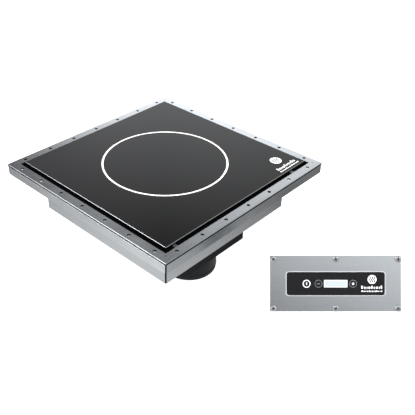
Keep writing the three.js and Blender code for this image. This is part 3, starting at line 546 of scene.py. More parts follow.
def tube(path, radius, sides=8, closed=False):
    """Round wire along a path."""
    shape = Shape()
    count = len(path)
    rings = []
    side = None
    for i, point in enumerate(path):
        before = path[(i - 1) % count] if closed or i else point
        after = path[(i + 1) % count] if closed or i < count - 1 else point
        ahead = (after - before).normalized()
        if side is None:
            side = ahead.orthogonal().normalized()
        side = (side - ahead * side.dot(ahead)).normalized()
        other = ahead.cross(side)
        rings.append(shape.loop([point + radius * (side * math.cos(a) + other * math.sin(a))
                                 for a in (2 * math.pi * k / sides for k in range(sides))]))
    for first, second in zip(rings, rings[1:]):
        shape.band(first, second)
    if closed:
        shape.band(rings[-1], rings[0])
    else:
        shape.cap([rings[0]])
        shape.cap([rings[-1]])
    return shape


def to_mesh(name, shape, place=None):
    mesh = bpy.data.meshes.new(name)
    points = [place @ p for p in shape.points] if place else shape.points
    mesh.from_pydata([tuple(p) for p in points], [], shape.faces)
    return mesh


def tidy(mesh, sharp=40, bevel=0.0, segments=2, bevel_angle=30, merge=True, flatten=False):
    """Merges doubles, turns faces outwards, rounds hard edges and marks the ones that stay sharp."""
    bm = bmesh.new()
    bm.from_mesh(mesh)
    if merge:
        bmesh.ops.remove_doubles(bm, verts=bm.verts, dist=0.004 * MM)
        bmesh.ops.recalc_face_normals(bm, faces=bm.faces)
    if flatten:
        bmesh.ops.dissolve_limit(bm, angle_limit=math.radians(1), verts=bm.verts, edges=bm.edges)
    if bevel:
        hard = [e for e in bm.edges if e.is_manifold and e.calc_face_angle() > math.radians(bevel_angle)]
        bmesh.ops.bevel(bm, geom=hard, offset=bevel, segments=segments, profile=0.5,
                        affect="EDGES", clamp_overlap=True)
    for face in bm.faces:
        face.smooth = True
    for edge in bm.edges:
        edge.smooth = edge.is_manifold and edge.calc_face_angle() < math.radians(sharp)
    bm.to_mesh(mesh)
    bm.free()
    return mesh


def weighted(mesh):
    """Same mesh with normals led by its large faces, so flat sheet stays flat beside its round edges."""
    carrier = helper("carrier", mesh)
    modifier = carrier.modifiers.new("weights", "WEIGHTED_NORMAL")
    modifier.mode, modifier.weight, modifier.keep_sharp = "FACE_AREA", 50, True
    bpy.context.view_layer.update()
    seen = carrier.evaluated_get(bpy.context.evaluated_depsgraph_get())
    plain = bpy.data.meshes.new_from_object(seen)
    bpy.data.objects.remove(carrier)
    return plain


def piece(name, mesh, finish, body=ROOT, replaces=()):
    """Puts a finished mesh on its body, with its finish and the CAD nodes that it stands for."""
    mesh = weighted(mesh)
    mesh.name = name
    made = bpy.data.objects.new(name, mesh)
    bpy.context.scene.collection.objects.link(made)
    if finish is not None:
        mesh.materials.clear()
        mesh.materials.append(finish.material)
    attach(made, body)
    if replaces:
        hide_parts(*replaces)
    return made


def build(name, shape, finish, body=ROOT, replaces=(), slot=None, place=None, **softening):
    return piece(name, tidy(to_mesh(name, shape, place), **softening), finish, body, replaces)


def refined(node, finish, bevel=0.3, sharp=40, body=ROOT, segments=2, name=None):
    """Stands a copy of a CAD node in its place, with its hard edges rounded."""
    mesh = bpy.data.meshes.new(node)
    source = frame["nodes"][node].data
    mesh.from_pydata([tuple(v.co) for v in source.vertices], [],
                     [tuple(p.vertices) for p in source.polygons])
    tidy(mesh, sharp=sharp, bevel=bevel * MM, segments=segments, flatten=True)
    return piece(name or node + "_finished", mesh, finish, body, (node,))


def dress(node, finish):
    """Gives a CAD node that stays its finish."""
    for slot in frame["nodes"][node].material_slots:
        slot.material = finish.material


# ---------- geometry node recipes ----------

class Recipe(Tree):
    """A geometry node tree with named inputs, which ends in Realize Instances and Set Material."""

    def __init__(self, name):
        super().__init__(bpy.data.node_groups.new(name, "GeometryNodeTree"))
        self.entry = self.tree.nodes.new("NodeGroupInput")
        self.leave = self.tree.nodes.new("NodeGroupOutput")
        self.tree.interface.new_socket("Geometry", in_out="OUTPUT", socket_type="NodeSocketGeometry")
        self.blank = self.size("Geometry", "Geometry")

    def size(self, name, kind="Float", default=None):
        socket = self.tree.interface.new_socket(name, in_out="INPUT", socket_type="NodeSocket" + kind)
        if default is not None:
            socket.default_value = default
        return Wire(self, self.entry.outputs[name])

    def close(self, geometry):
        real = self.node("GeometryNodeRealizeInstances", inputs={"Geometry": geometry})
        painted = self.node("GeometryNodeSetMaterial",
                            inputs={"Geometry": real, "Material": self.size("Finish", "Material")})
        self.tree.links.new(painted.socket, self.leave.inputs["Geometry"])
        return self

    def bake(self, mesh, **values):
        """Runs the recipe on a mesh and returns the plain mesh that comes out."""
        carrier = helper("carrier", mesh)
        modifier = carrier.modifiers.new("recipe", "NODES")
        modifier.node_group = self.tree
        names = {item.name: item.identifier for item in self.tree.interface.items_tree
                 if item.in_out == "INPUT"}
        for name, value in values.items():
            modifier[names[name.replace("_", " ")]] = value
        bpy.context.view_layer.update()
        seen = carrier.evaluated_get(bpy.context.evaluated_depsgraph_get())
        plain = bpy.data.meshes.new_from_object(seen)
        carrier.modifiers.remove(modifier)
        bpy.data.objects.remove(carrier)
        return plain


def on_places(recipe, tool):
    """The tool object's geometry and the turn attribute of the points, for setting the tool on them."""
    turn = recipe.node("GeometryNodeInputNamedAttribute", {"data_type": "FLOAT_VECTOR"}, {"Name": "turn"})
    shown = recipe.node("GeometryNodeObjectInfo", inputs={"Object": tool}, out="Geometry")
    return shown, turn


def scatter_recipe():
    """One tool on every point of the blank."""
    recipe = Recipe("Set on places")
    shown, turn = on_places(recipe, recipe.size("Tool", "Object"))
    return recipe.close(recipe.node("GeometryNodeInstanceOnPoints", inputs={
        "Points": recipe.blank, "Instance": shown, "Rotation": turn}))


def punch_recipe():
    """Cuts one tool out of the blank at every place."""
    recipe = Recipe("Punch at places")
    places = recipe.node("GeometryNodeObjectInfo", inputs={"Object": recipe.size("Places", "Object")},
                         out="Geometry")
    shown, turn = on_places(recipe, recipe.size("Tool", "Object"))
    tools = recipe.node("GeometryNodeInstanceOnPoints", inputs={
        "Points": places, "Instance": shown, "Rotation": turn})
    solid = recipe.node("GeometryNodeRealizeInstances", inputs={"Geometry": tools})
    cut = recipe.node("GeometryNodeMeshBoolean", {"operation": "DIFFERENCE"},
                      {"Mesh 1": recipe.blank, "Mesh 2": solid})
    return recipe.close(cut)


def winding_recipe():
    """Flat spiral of round wire, in one layer of turns."""
    recipe = Recipe("Flat winding")
    spiral = recipe.node("GeometryNodeCurveSpiral", inputs={
        "Resolution": recipe.size("Points each turn", "Int", 40),
        "Rotations": recipe.size("Turns", "Float", 22.0),
        "Start Radius": recipe.size("Inner radius", "Float", 0.023),
        "End Radius": recipe.size("Outer radius", "Float", 0.103),
        "Height": 0.0})
    raised = recipe.node("GeometryNodeTransform", inputs={
        "Geometry": spiral, "Translation": recipe.size("Centre", "Vector")})
    wire = recipe.node("GeometryNodeCurvePrimitiveCircle", inputs={
        "Resolution": 8, "Radius": recipe.size("Wire radius", "Float", 0.0016)})
    return recipe.close(recipe.node("GeometryNodeCurveToMesh", inputs={
        "Curve": raised, "Profile Curve": wire, "Fill Caps": True}))


def ring_recipe():
    """Even wire rings, each one step wider than the last."""
    recipe = Recipe("Wire rings")
    count = recipe.size("Rings", "Int", 4)
    line = recipe.node("GeometryNodeMeshLine", {"mode": "OFFSET"}, {
        "Count": count, "Start Location": recipe.size("Centre", "Vector"), "Offset": (0, 0, 0)})
    ring = recipe.node("GeometryNodeCurvePrimitiveCircle", inputs={
        "Resolution": 56, "Radius": recipe.size("Ring step", "Float", 0.01)})
    wider = recipe.node("GeometryNodeInputIndex") + 1
    rings = recipe.node("GeometryNodeInstanceOnPoints", inputs={
        "Points": line, "Instance": ring, "Scale": wider})
    wire = recipe.node("GeometryNodeCurvePrimitiveCircle", inputs={
        "Resolution": 8, "Radius": recipe.size("Wire radius", "Float", 0.0008)})
    real = recipe.node("GeometryNodeRealizeInstances", inputs={"Geometry": rings})
    return recipe.close(recipe.node("GeometryNodeCurveToMesh", inputs={
        "Curve": real, "Profile Curve": wire}))


def places(name, spots):
    """Mesh of bare points with a turn on each, as (position, euler) pairs."""
    mesh = bpy.data.meshes.new(name)
    mesh.from_pydata([tuple(spot) for spot, _ in spots], [], [])
    turns = mesh.attributes.new("turn", "FLOAT_VECTOR", "POINT")
    for item, (_, turn) in zip(turns.data, spots):
        item.vector = tuple(turn)
    return mesh


def blank():
    """Mesh of one point, for a recipe that draws everything itself."""
    return places("blank", [((0, 0, 0), (0, 0, 0))])


def helper(name, mesh):
    """Object that only feeds a recipe, and is removed afterwards."""
    made = bpy.data.objects.new(name, mesh)
    bpy.context.scene.collection.objects.link(made)
    return made


def punched(mesh, tool, spots, finish):
    """The mesh with the tool cut out at each spot."""
    tool = helper("tool", tidy(to_mesh("tool", tool)))
    marks = helper("marks", places("marks", spots))
    plain = punch_recipe().bake(mesh, Places=marks, Tool=tool, Finish=finish.material)
    bpy.data.objects.remove(tool)
    bpy.data.objects.remove(marks)
    return plain


def scattered(tool, spots, finish):
    """One plain mesh of the tool set on every spot."""
    tool = helper("tool", tool)
    plain = scatter_recipe().bake(places("marks", spots), Tool=tool, Finish=finish.material)
    bpy.data.objects.remove(tool)
    return plain


def spread(name, shape, spots, finish, body=ROOT, sharp=40):
    """A shape set on every spot, as one piece."""
    mesh = tidy(to_mesh("shape", shape), sharp=sharp)
    return piece(name, scattered(mesh, spots, finish), None, body)


def corner_spots(half):
    """The four corners of a square, each turned outwards."""
    return [((sx * half, sy * half, 0), (0, 0, math.atan2(sy, sx))) for sx in (-1, 1) for sy in (-1, 1)]


# ---------- finishes, made once ----------

def finishes():
    """All finishes by name; they are made on the first call."""
    if FINISHES:
        return FINISHES
    tones = bpy.context.scene.hob_colours
    FINISHES.update(
        # frame: a painted light gradient on its flange top, lighter towards +x
        frame=brushed_steel("frame_sheet", None, None, roughness=0.24, contrast=0.55, mottle=0.55,
                            painted_light_slope=(1.1, 0.1, 0), flange=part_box("mounting_frame")[1].x),
        casing=brushed_steel("casing_sheet", None, None, tone=0.97, roughness=0.27),
        base=brushed_steel("base_sheet", (1, 0, 0), (0, 1, 0), tone=0.9, roughness=0.34),
        # panel: a painted light gradient, lighter to the right and upwards
        panel=brushed_steel("panel_sheet", PANEL_RIGHT, PANEL_UP, roughness=0.30, contrast=0.45,
                            painted_light_slope=PANEL_RIGHT * 2.4 + PANEL_UP * 4.5, centre=PANEL.translation),
        back_box=brushed_steel("back_box_sheet", PANEL_RIGHT, PANEL_UP, tone=0.85, roughness=0.38),
        glass=ceramic_glass(tones.glass),
        # Near black with no sheen: real sealant at the glass joint, and painted shadow in the groove under
        # the flange's edge and in the screw recesses.
        sealant=dusty("joint_sealant", (0.0018, 0.0018, 0.002), 0.6, specular=0.0),
        # Near-black finish of the pieces that paint shade: the skirt's inner lining, the strips in the corner
        # seams and the sleeves under the flange holes.
        foam=dusty("skirt_foam", (0.004, 0.004, 0.0045), 0.9, 900, specular=0.05),
        plastic=moulded_plastic("inlet_plastic", tones.plastic),
        inlet=moulded_plastic("inlet_box_plastic", shade(tones.plastic, 0.6), 0.5, specular=0.12),
        fan=moulded_plastic("fan_plastic", shade(tones.plastic, 0.8), 0.4),
        fitting=moulded_plastic("fitting_plastic", shade(tones.plastic, 0.9), 0.42),
        label=moulded_plastic("label_film", tones.label, 0.36, 0.12),
        # The white print glows a little: painted light that keeps it bright white.
        white=printed("white_print", tones.print_white, glow=0.18),
        edge=printed("bright_label_edge", (0.60, 0.61, 0.62), 0.3),
        grey=printed("grey_print", tones.print_grey),
        dark=printed("dark_print", tones.label),
        display=display_pane(tones.display),
        bright=bright_metal("bright_fastener"),
        screw=bright_metal("panel_screw_metal", (0.97, 0.975, 0.98), 0.3),
        clip=bright_metal("spacer_clip", (0.34, 0.35, 0.36), 0.22),
        brass=bright_metal("brass_stud", (0.70, 0.52, 0.24), 0.28),
        aluminium=dusty("cast_aluminium", (0.55, 0.56, 0.57), 0.42, 700, 0.12, 1.0),
        copper=dusty("copper_winding", (0.62, 0.27, 0.14), 0.36, 900, 0.2, 1.0),
        ferrite=dusty("ferrite_core", (0.035, 0.036, 0.038), 0.7),
        mica=dusty("mica_sheet_layers", (0.52, 0.47, 0.35), 0.55, 120, 0.2),
        board=circuit_board(),
        cream=moulded_plastic("cream_plastic", (0.66, 0.62, 0.50), 0.5),
        chip=moulded_plastic("chip_resin", (0.015, 0.015, 0.017), 0.45),
        rubber=dusty("grommet_rubber", (0.010, 0.010, 0.011), 0.7),
    )
    return FINISHES


FINISHES = {}


def ceramic_glass(rgb):
    """Deep black glass with a hint of fine speckle under a polished face, and a painted reflection in its
    colour.
    """
    finish = Finish("ceramic_glass", IOR=1.5, Specular_IOR_Level=0.17)
    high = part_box("glass_plate")[1]
    arris = finish.outward().within(high.x - 0.95 * MM, high.x - 0.75 * MM) \
        * finish.along((0, 0, 1)).within(high.z - 0.75 * MM, high.z - 0.65 * MM)
    speck = finish.noise(1700, 2)
    cloud = finish.noise(9, 2)
    # Painted reflection: the glass's colour rises towards -x,+y and a little towards +x,+y, over a faint real
    # speckle.
    speck_and_painted_sheen = (speck - 0.5) * 0.2 + (finish.along((-1, 1, 0)).at_least(0) * 2.3) \
        + finish.along((0.15, 0.15, 0)) + 0.24
    face = finish.between(speck_and_painted_sheen, shade(rgb, 0.3), shade(rgb, 3.6))
    finish.feed("Base Color", finish.over(face, (0.5, 0.51, 0.52), arris))
    finish.feed("Metallic", arris)
    finish.feed("Roughness", (cloud - 0.5) * 0.04 + arris * 0.06 + 0.09)
    return finish


def display_pane(rgb):
    """Pale lit pane, a little darker in its middle than at its white border."""
    finish = Finish("display_pane", IOR=1.45, Roughness=0.2)
    low, high = panel_box("display_window")
    right = finish.along(PANEL_RIGHT) - middle((low, high)).x - PANEL.translation.dot(PANEL_RIGHT)
    up = finish.along(PANEL_UP) - middle((low, high)).y - PANEL.translation.dot(PANEL_UP)
    inside = right.size().within(high.x - 2.2 * MM, high.x - 3.4 * MM) \
        * up.size().within(high.y - 1.6 * MM, high.y - 2.8 * MM)
    tone = finish.between(inside * (0.92 + finish.noise(300) * 0.16), shade(rgb, 1.45), rgb)
    finish.feed("Base Color", tone)
    finish.feed("Emission Color", tone)
    finish.shader.inputs["Emission Strength"].default_value = 0.05
    return finish


def circuit_board():
    """Green solder mask over faint copper tracks."""
    finish = Finish("circuit_board", IOR=1.5)
    cells = finish.node("ShaderNodeTexVoronoi", {"distance": "CHEBYCHEV"},
                        {"Vector": finish.place, "Scale": 160.0}, out="Distance")
    tracks = cells.within(0.36, 0.44)
    finish.feed("Base Color", finish.between(tracks, (0.012, 0.075, 0.032), (0.03, 0.17, 0.07)))
    finish.feed("Roughness", tracks * -0.1 + 0.4)
    finish.bump(tracks, 0.3, 0.03 * MM)
    return finish


# ---------- the pieces ----------

class HobPiece:
    """Shared parts of the operators."""
    bl_options = {"REGISTER", "UNDO"}

    def execute(self, context):
        self.make(context.scene)
        return {"FINISHED"}


class HOB_OT_frame(HobPiece, bpy.types.Operator):
    """Folded mounting frame with its screw holes, pilot holes, open skirt corners and near-black pieces of
    painted shade
    """
    bl_idname = "hob.frame"
    bl_label = "Mounting Frame"

    def make(self, scene):
        sizes = scene.hob_frame
        low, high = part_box("mounting_frame")
        half, foot = high.x, low.z
        fold = half - sizes.bend
        inner = sizes.bend - sizes.sheet
        shelf = -sizes.lip - sizes.shadow_strip
        back = half - sizes.sheet * 0.8
        chamfer = 0.15 * MM
        profile = [(half - sizes.sheet, foot), (half, foot), (half, shelf - chamfer), (half - chamfer, shelf),
                   (back, shelf), (back, -sizes.lip), (half - chamfer, -sizes.lip),
                   (half, -sizes.lip + chamfer)]
        edge = ((0, 0.72), (0.03, 0.62), (0.10, 0.52), (0.52, 0.10), (0.62, 0.03), (0.72, 0))
        profile += [(half - inset * MM, -drop * MM) for inset, drop in edge]
        profile += [(half - sizes.flange, 0), (half - sizes.flange, -sizes.sheet)]
        profile += arc((fold, -sizes.bend), inner, 90, 0, 4)
        finish = finishes()["frame"]
        mesh = tidy(to_mesh("frame", square_ring(profile)))
        flat = (0, 0, 0)
        row = half - sizes.hole_edge
        step = 2 * (half - sizes.hole_end) / (sizes.holes - 1)
        spots = []
        for i in range(sizes.holes):
            place = -half + sizes.hole_end + i * step
            spots += [((place, -row, 0), flat), ((place, row, 0), flat),
                      ((-row, place, 0), flat), ((row, place, 0), flat)]
        deep = 2 * sizes.sheet
        hole_places = [Vector(spot) for spot, _ in spots]
        mesh = punched(mesh, slab(circle(sizes.hole / 2, count=28), [(-deep, 0), (deep, 0)]), spots, finish)
        pilot = half - sizes.pilot_inset
        spots = [(spot, flat) for spot, _ in corner_spots(pilot)]
        mesh = punched(mesh, slab(circle(sizes.pilot / 2, count=16), [(-deep, 0), (deep, 0)]), spots, finish)
        turned = corner_spots(half)
        reach = 3 * sizes.bend
        slot = block((-reach, -sizes.seam / 2, foot - MM), (reach, sizes.seam / 2, -sizes.bend * 0.8))
        mesh = punched(mesh, slot, turned, finish)
        notch = block((-reach, -sizes.notch / 2, foot - MM), (reach, sizes.notch / 2, foot + sizes.notch))
        mesh = punched(mesh, notch, turned, finish)
        tidy(mesh, bevel=0.22 * MM, bevel_angle=50, sharp=38)
        piece("mounting_frame_sheet", mesh, finish, replaces=("mounting_frame",))
        # Painted shadow: a near-black strip fills the groove under the flange's edge, where a shadow line
        # falls.
        face, root = half - sizes.shadow_strip_depth, back - 0.05 * MM
        bulge = face + 0.12 * MM
        shadow_strip = [(root, shelf), (face, shelf), (bulge, shelf + 0.3 * sizes.shadow_strip),
                  (bulge, shelf + 0.7 * sizes.shadow_strip), (face, -sizes.lip), (root, -sizes.lip)]
        build("edge_gasket", square_ring(shadow_strip), finishes()["sealant"], slot="sealant", sharp=60)
        # Painted shade: a near-black lining on the inner side of the skirt keeps the inside of the frame
        # dark.
        foam_face, foam_step, foam_back = half - 2.2 * MM, half - 4.6 * MM, half - 5.2 * MM
        foam = [(foam_face, -2.8 * MM), (foam_face, foot + 6 * MM), (foam_step, foot + 6.6 * MM),
                (foam_back, foot + 9 * MM), (foam_back, -4.6 * MM), (foam_step, -2.8 * MM)]
        build("skirt_foam_strip", square_ring(foam), finishes()["foam"], slot="sealant", sharp=50)
        # Painted shade: near-black strips inside the open skirt corners darken the seams.
        side = sizes.seam / 2 - 0.05 * MM
        strip = block((-4.5 * MM, -side, foot + sizes.notch), (-2 * MM, side, shelf - chamfer))
        spread("skirt_corner_seals", strip, turned, finishes()["foam"])
        # Painted shade: near-black sleeves under the flange holes, deeper at the rear, darken what is seen
        # through the holes.
        r = sizes.hole / 2
        for name, sleeve_foot, chosen in (("hole_bushes_front", 3.0, lambda p: min(p.x, p.y) < -row + MM),
                                           ("hole_bushes_rear", 4.5, lambda p: max(p.x, p.y) > row - MM)):
            bottom = -sleeve_foot * MM
            shade_sleeve = lathe([(r, -sizes.sheet), (r + 0.9 * MM, -sizes.sheet), (r + 0.9 * MM, bottom),
                          (r, bottom)], 24)
            spots = [(p, flat) for p in hole_places if chosen(p)]
            spread(name, shade_sleeve, spots, finishes()["foam"])


class HOB_OT_glass(HobPiece, bpy.types.Operator):
    """Glass plate with its ground edge, the joint around it and the two spacer clips"""
    bl_idname = "hob.glass"
    bl_label = "Glass Top"

    def make(self, scene):
        sizes = scene.hob_top
        kit = finishes()
        low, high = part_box("glass_plate")
        outline = rounded(high.x - low.x, high.y - low.y, sizes.corner, steps=6)
        rim = sizes.arris
        levels = [(low.z, rim), (low.z + rim, 0), (high.z - rim, 0), (high.z - rim * 0.62, rim * 0.16),
                  (high.z - rim * 0.22, rim * 0.55), (high.z, rim * 1.1)]
        build("glass_plate_polished", slab(outline, levels), kit["glass"], replaces=("glass_plate",),
              slot="black_glass", sharp=50)
        bottom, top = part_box("glass_seal")
        inner = high.x - 12 * MM
        dip = -0.5 * MM
        side = high.x + 0.2 * MM
        width = top.x - side
        profile = [(inner, bottom.z), (top.x, bottom.z), (top.x, dip + 0.35 * MM)]
        profile += [(top.x - width * t, dip - 0.9 * MM * math.sin(math.pi * t) + 0.35 * MM * (1 - t))
                    for t in (0.15, 0.3, 0.5, 0.7, 0.85)]
        profile += [(side, dip), (side, low.z), (inner, low.z)]
        build("glass_joint_bead", square_ring(profile), kit["sealant"], replaces=("glass_seal",),
              slot="sealant", sharp=60)
        for number in (1, 2):
            refined(f"glass_spacer_{number}", kit["clip"], 0.15)


class HOB_OT_prints(HobPiece, bpy.types.Operator):
    """Zone ring and plain heat mark that are printed on the glass"""
    bl_idname = "hob.prints"
    bl_label = "Glass Prints"

    def make(self, scene):
        sizes = scene.hob_top
        kit = finishes()
        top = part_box("glass_plate")[1].z
        low, high = top + 0.005 * MM, top + sizes.print_height
        ring = slab(circle(sizes.ring_radius, count=160), [(low, 0), (high, 0)],
                    [circle(sizes.ring_radius - sizes.ring_line, count=160)])
        build("zone_ring", ring, kit["white"], sharp=30)
        mark = Vector((sizes.mark_x, -sizes.mark_y, 0))
        white, dark = heat_mark(sizes.mark_radius, low, high)
        white.add(word_bars(49 * MM, 6.8 * MM, 10, low, high), Matrix.Translation((0, -22 * MM, 0)))
        white.add(word_bars(52 * MM, 3.0 * MM, 13, low, high), Matrix.Translation((0, -30 * MM, 0)))
        build("glass_mark", white, kit["white"], place=Matrix.Translation(mark))
        build("glass_mark_waves", dark, kit["dark"], place=Matrix.Translation(mark))


def heat_mark(radius, low, high):
    """Disc with three rising waves: the light part and the dark part."""
    disc = slab(circle(radius, count=48), [(low, 0), (high, 0)])
    waves = Shape()
    reach, width = radius * 0.62, radius * 0.13
    for offset in (-0.46, 0, 0.46):
        spine = [(offset * radius + radius * 0.11 * math.sin(3.2 * math.pi * t), reach * (2 * t - 1))
                 for t in (i / 14 for i in range(15))]
        left = [(x - width, y) for x, y in spine]
        right = [(x + width, y) for x, y in reversed(spine)]
        outline = right + left
        waves.add(slab(lambda inset, points=outline: points, [(high, 0), (2 * high - low, 0)]))
    return disc, waves


def word_bars(width, height, count, low, high):
    """Row of plain blocks of uneven width, with no letter shapes."""
    shape = Shape()
    share = [1 + 0.45 * math.sin(2.3 * i + 0.6) for i in range(count)]
    gap = height * 0.34
    unit = (width - gap * (count - 1)) / sum(share)
    x = -width / 2
    for i, part in enumerate(share):
        wide = part * unit
        tall = height * (1.0 if i % 4 == 0 else 0.7)
        shape.add(slab(rounded(wide, tall, height * 0.12, (x + wide / 2, (tall - height) / 2), 2),
                       [(low, 0), (high, 0)]))
        x += wide + gap
    return shape


class HOB_OT_casing(HobPiece, bpy.types.Operator):
    """Folded casing with its vents and painted shade in its corner seams, and the base cover with its screws
    """
    bl_idname = "hob.casing"
    bl_label = "Casing"

    def make(self, scene):
        kit = finishes()
        low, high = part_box("casing_tub")
        cover_low, cover_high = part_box("bottom_cover")
        sheet = 1.2 * MM
        half = casing_half()
        rim = high.x
        inside = half - sheet
        profile = [(rim, high.z), (rim, high.z - sheet)]
        profile += [(half + sheet, high.z - sheet)]
        profile += arc((half + sheet, high.z - sheet - sheet), sheet, 90, 180, 4)[1:]
        profile += [(half, low.z + 0.4 * MM), (half - 0.4 * MM, low.z), (inside, low.z),
                    (inside, cover_high.z), (inside - 5.5 * MM, cover_high.z),
                    (inside - 5.5 * MM, cover_high.z + sheet), (inside, cover_high.z + sheet),
                    (inside, high.z)]
        mesh = tidy(to_mesh("casing", square_ring(profile, lambda h: max(0.3 * MM, h - inside + 0.6 * MM)
                                                  if h < rim - MM else 2 * MM, 4)))
        through = [(-3 * MM, 0), (3 * MM, 0)]
        mesh = punched(mesh, slab(rounded(5 * MM, 36 * MM, 2.4 * MM, steps=5), through), vent_spots(),
                       kit["casing"])
        wall, level = inside + sheet / 2, middle(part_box("mains_gland")).z
        rear = (math.pi / 2, 0, 0)
        for node, width, height, corner in (("mains_gland", 20.6, 20.6, 10.2), ("earth_stud", 6.6, 6.6, 3.2),
                                            ("control_socket", 22.6, 14.6, 0.6)):
            hole = slab(rounded(width * MM, height * MM, corner * MM, steps=8), through)
            mesh = punched(mesh, hole, [((middle(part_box(node)).x, wall, level), rear)], kit["casing"])
        reach, gap = 4 * MM, 1.4 * MM
        slot = block((-reach, -gap, low.z + 1.6 * MM), (reach, gap, high.z - 3 * MM))
        mesh = punched(mesh, slot, corner_spots(half), kit["casing"])
        tidy(mesh, sharp=38)
        piece("casing_tub_sheet", mesh, kit["casing"], replaces=("casing_tub",))
        # Painted shade: near-black strips inside the open casing corners darken the seams.
        side = gap - 0.05 * MM
        strip = block((-6 * MM, -side, low.z + 2.4 * MM), (-1.9 * MM, side, high.z - 3.2 * MM))
        spread("casing_corner_seals", strip, corner_spots(half), kit["foam"])
        refined("bottom_cover", kit["base"], 0.25)
        edge = cover_high.x - 6 * MM
        spots = []
        down = (math.pi, 0, 0)
        for t in (-0.88, -0.3, 0.3, 0.88):
            spots += [((t * edge, edge, cover_low.z), down), ((edge, t * edge, cover_low.z), down),
                      ((-edge, t * edge, cover_low.z), down)]
        screw = dome_screw(5.2 * MM, 1.1 * MM, 1.4 * MM, 1.0 * MM, kit["bright"])
        piece("cover_screws", scattered(screw, spots, kit["bright"]), None)


def casing_half():
    """Half width of the casing below its rim, from the vertices at its foot."""
    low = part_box("casing_tub")[0]
    spots = [v.co for v in frame["nodes"]["casing_tub"].data.vertices if v.co.z < low.z + MM]
    return max(spot.x for spot in spots)


def vent_spots(count=12, pitch=14, top=40, height=36):
    """Places of the vents in the rear wall; the sizes are in millimetres."""
    wall = casing_half() - 0.6 * MM
    z = -(top + height / 2) * MM
    return [(((i - (count - 1) / 2) * pitch * MM, wall, z), (math.pi / 2, 0, 0)) for i in range(count)]


def dome_screw(head, rise, shank_length, shank, finish):
    """Domed screw with a cross recess; z is 0 under its head."""
    r = head / 2
    dome = [(r, rise * 0.10), (r * 0.985, rise * 0.30), (r * 0.93, rise * 0.54), (r * 0.83, rise * 0.74),
            (r * 0.66, rise * 0.89), (r * 0.40, rise * 0.97), (0, rise)]
    body = lathe([(0, -shank_length), (shank * 0.7, -shank_length), (shank, -shank_length + 0.3 * shank),
                  (shank, 0), (r * 0.97, 0)] + dome, 40)
    recess = slab(cross(head * 0.60, head * 0.15), [(rise * 0.30, head * 0.02), (rise * 1.5, -head * 0.02)])
    mesh = punched(tidy(to_mesh("screw", body)), recess, [((0, 0, 0), (0, 0, math.pi / 4))], finish)
    return tidy(mesh, sharp=32)


class HOB_OT_inlet(HobPiece, bpy.types.Operator):
    """Black air-inlet box, its duct spigot and the wire finger guard"""
    bl_idname = "hob.inlet"
    bl_label = "Air Inlet"

    def make(self, scene):
        kit = finishes()
        refined("fan_box", kit["inlet"], 0.6, segments=3, name="inlet_box_moulding")
        low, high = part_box("air_spigot")
        x, y, _ = middle(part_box("fan_housing"))
        r, wall = (high.x - low.x) / 2 - 0.8 * MM, 2.5 * MM
        foot, head = low.z, high.z
        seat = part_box("fan_box")[0].z + 1.6 * MM
        profile = [(r - wall, foot + 0.8 * MM)]
        profile += arc((r - wall + 0.8 * MM, foot + 0.8 * MM), 0.8 * MM, 180, 270, 4)[1:]
        profile += arc((r - 0.8 * MM, foot + 0.8 * MM), 0.8 * MM, 270, 360, 4)
        profile += [(r, foot + 4.6 * MM), (r + 0.35 * MM, foot + 5.4 * MM), (r + 0.72 * MM, foot + 6.1 * MM),
                    (r + 0.78 * MM, foot + 6.6 * MM), (r + 0.6 * MM, foot + 7.3 * MM),
                    (r + 0.15 * MM, foot + 8 * MM), (r, foot + 8.6 * MM), (r, head), (r - wall, head)]
        build("air_spigot_moulding", lathe(profile, 96, (x, y)), kit["plastic"], replaces=("air_spigot",),
              slot="black_plastic", sharp=38)
        lug = slab(rounded(5 * MM, 12 * MM, 1 * MM, ((r + 1.5 * MM), 0), 3), edged(seat, high.z, 0.3 * MM))
        spots = [((x, y, 0), (0, 0, (i + 0.75) * 2 * math.pi / 3)) for i in range(3)]
        spread("spigot_lugs", lug, spots, kit["plastic"], sharp=38)
        rib = slab(rounded(1.0 * MM, 1.6 * MM, 0.3 * MM, (r + 0.2 * MM, 0), 3),
                   [(foot + 8.8 * MM, 0), (seat - 2 * MM, 0)])
        ribs = [((x, y, 0), (0, 0, math.radians(a))) for a in (230, 50, 140, 320)]
        spread("spigot_ribs", rib, ribs, kit["plastic"], sharp=38)
        guard_low, guard_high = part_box("fan_guard")
        wire = 0.8 * MM
        reach = (guard_high.x - guard_low.x) / 2 - wire
        ring_z = guard_high.z - wire
        rings = ring_recipe().bake(blank(), Rings=5, Ring_step=reach / 5, Centre=(x, y, ring_z),
                                   Wire_radius=wire, Finish=kit["bright"].material)
        piece("guard_rings", tidy(rings, sharp=60), None, replaces=("fan_guard",))
        spoke = tube([Vector((-reach, 0, 0)), Vector((reach, 0, 0))], wire, 10)
        spokes = [((x, y, ring_z - 1.5 * wire), (0, 0, i * math.pi / 2)) for i in range(2)]
        spread("guard_spokes", spoke, spokes, kit["bright"], sharp=50)


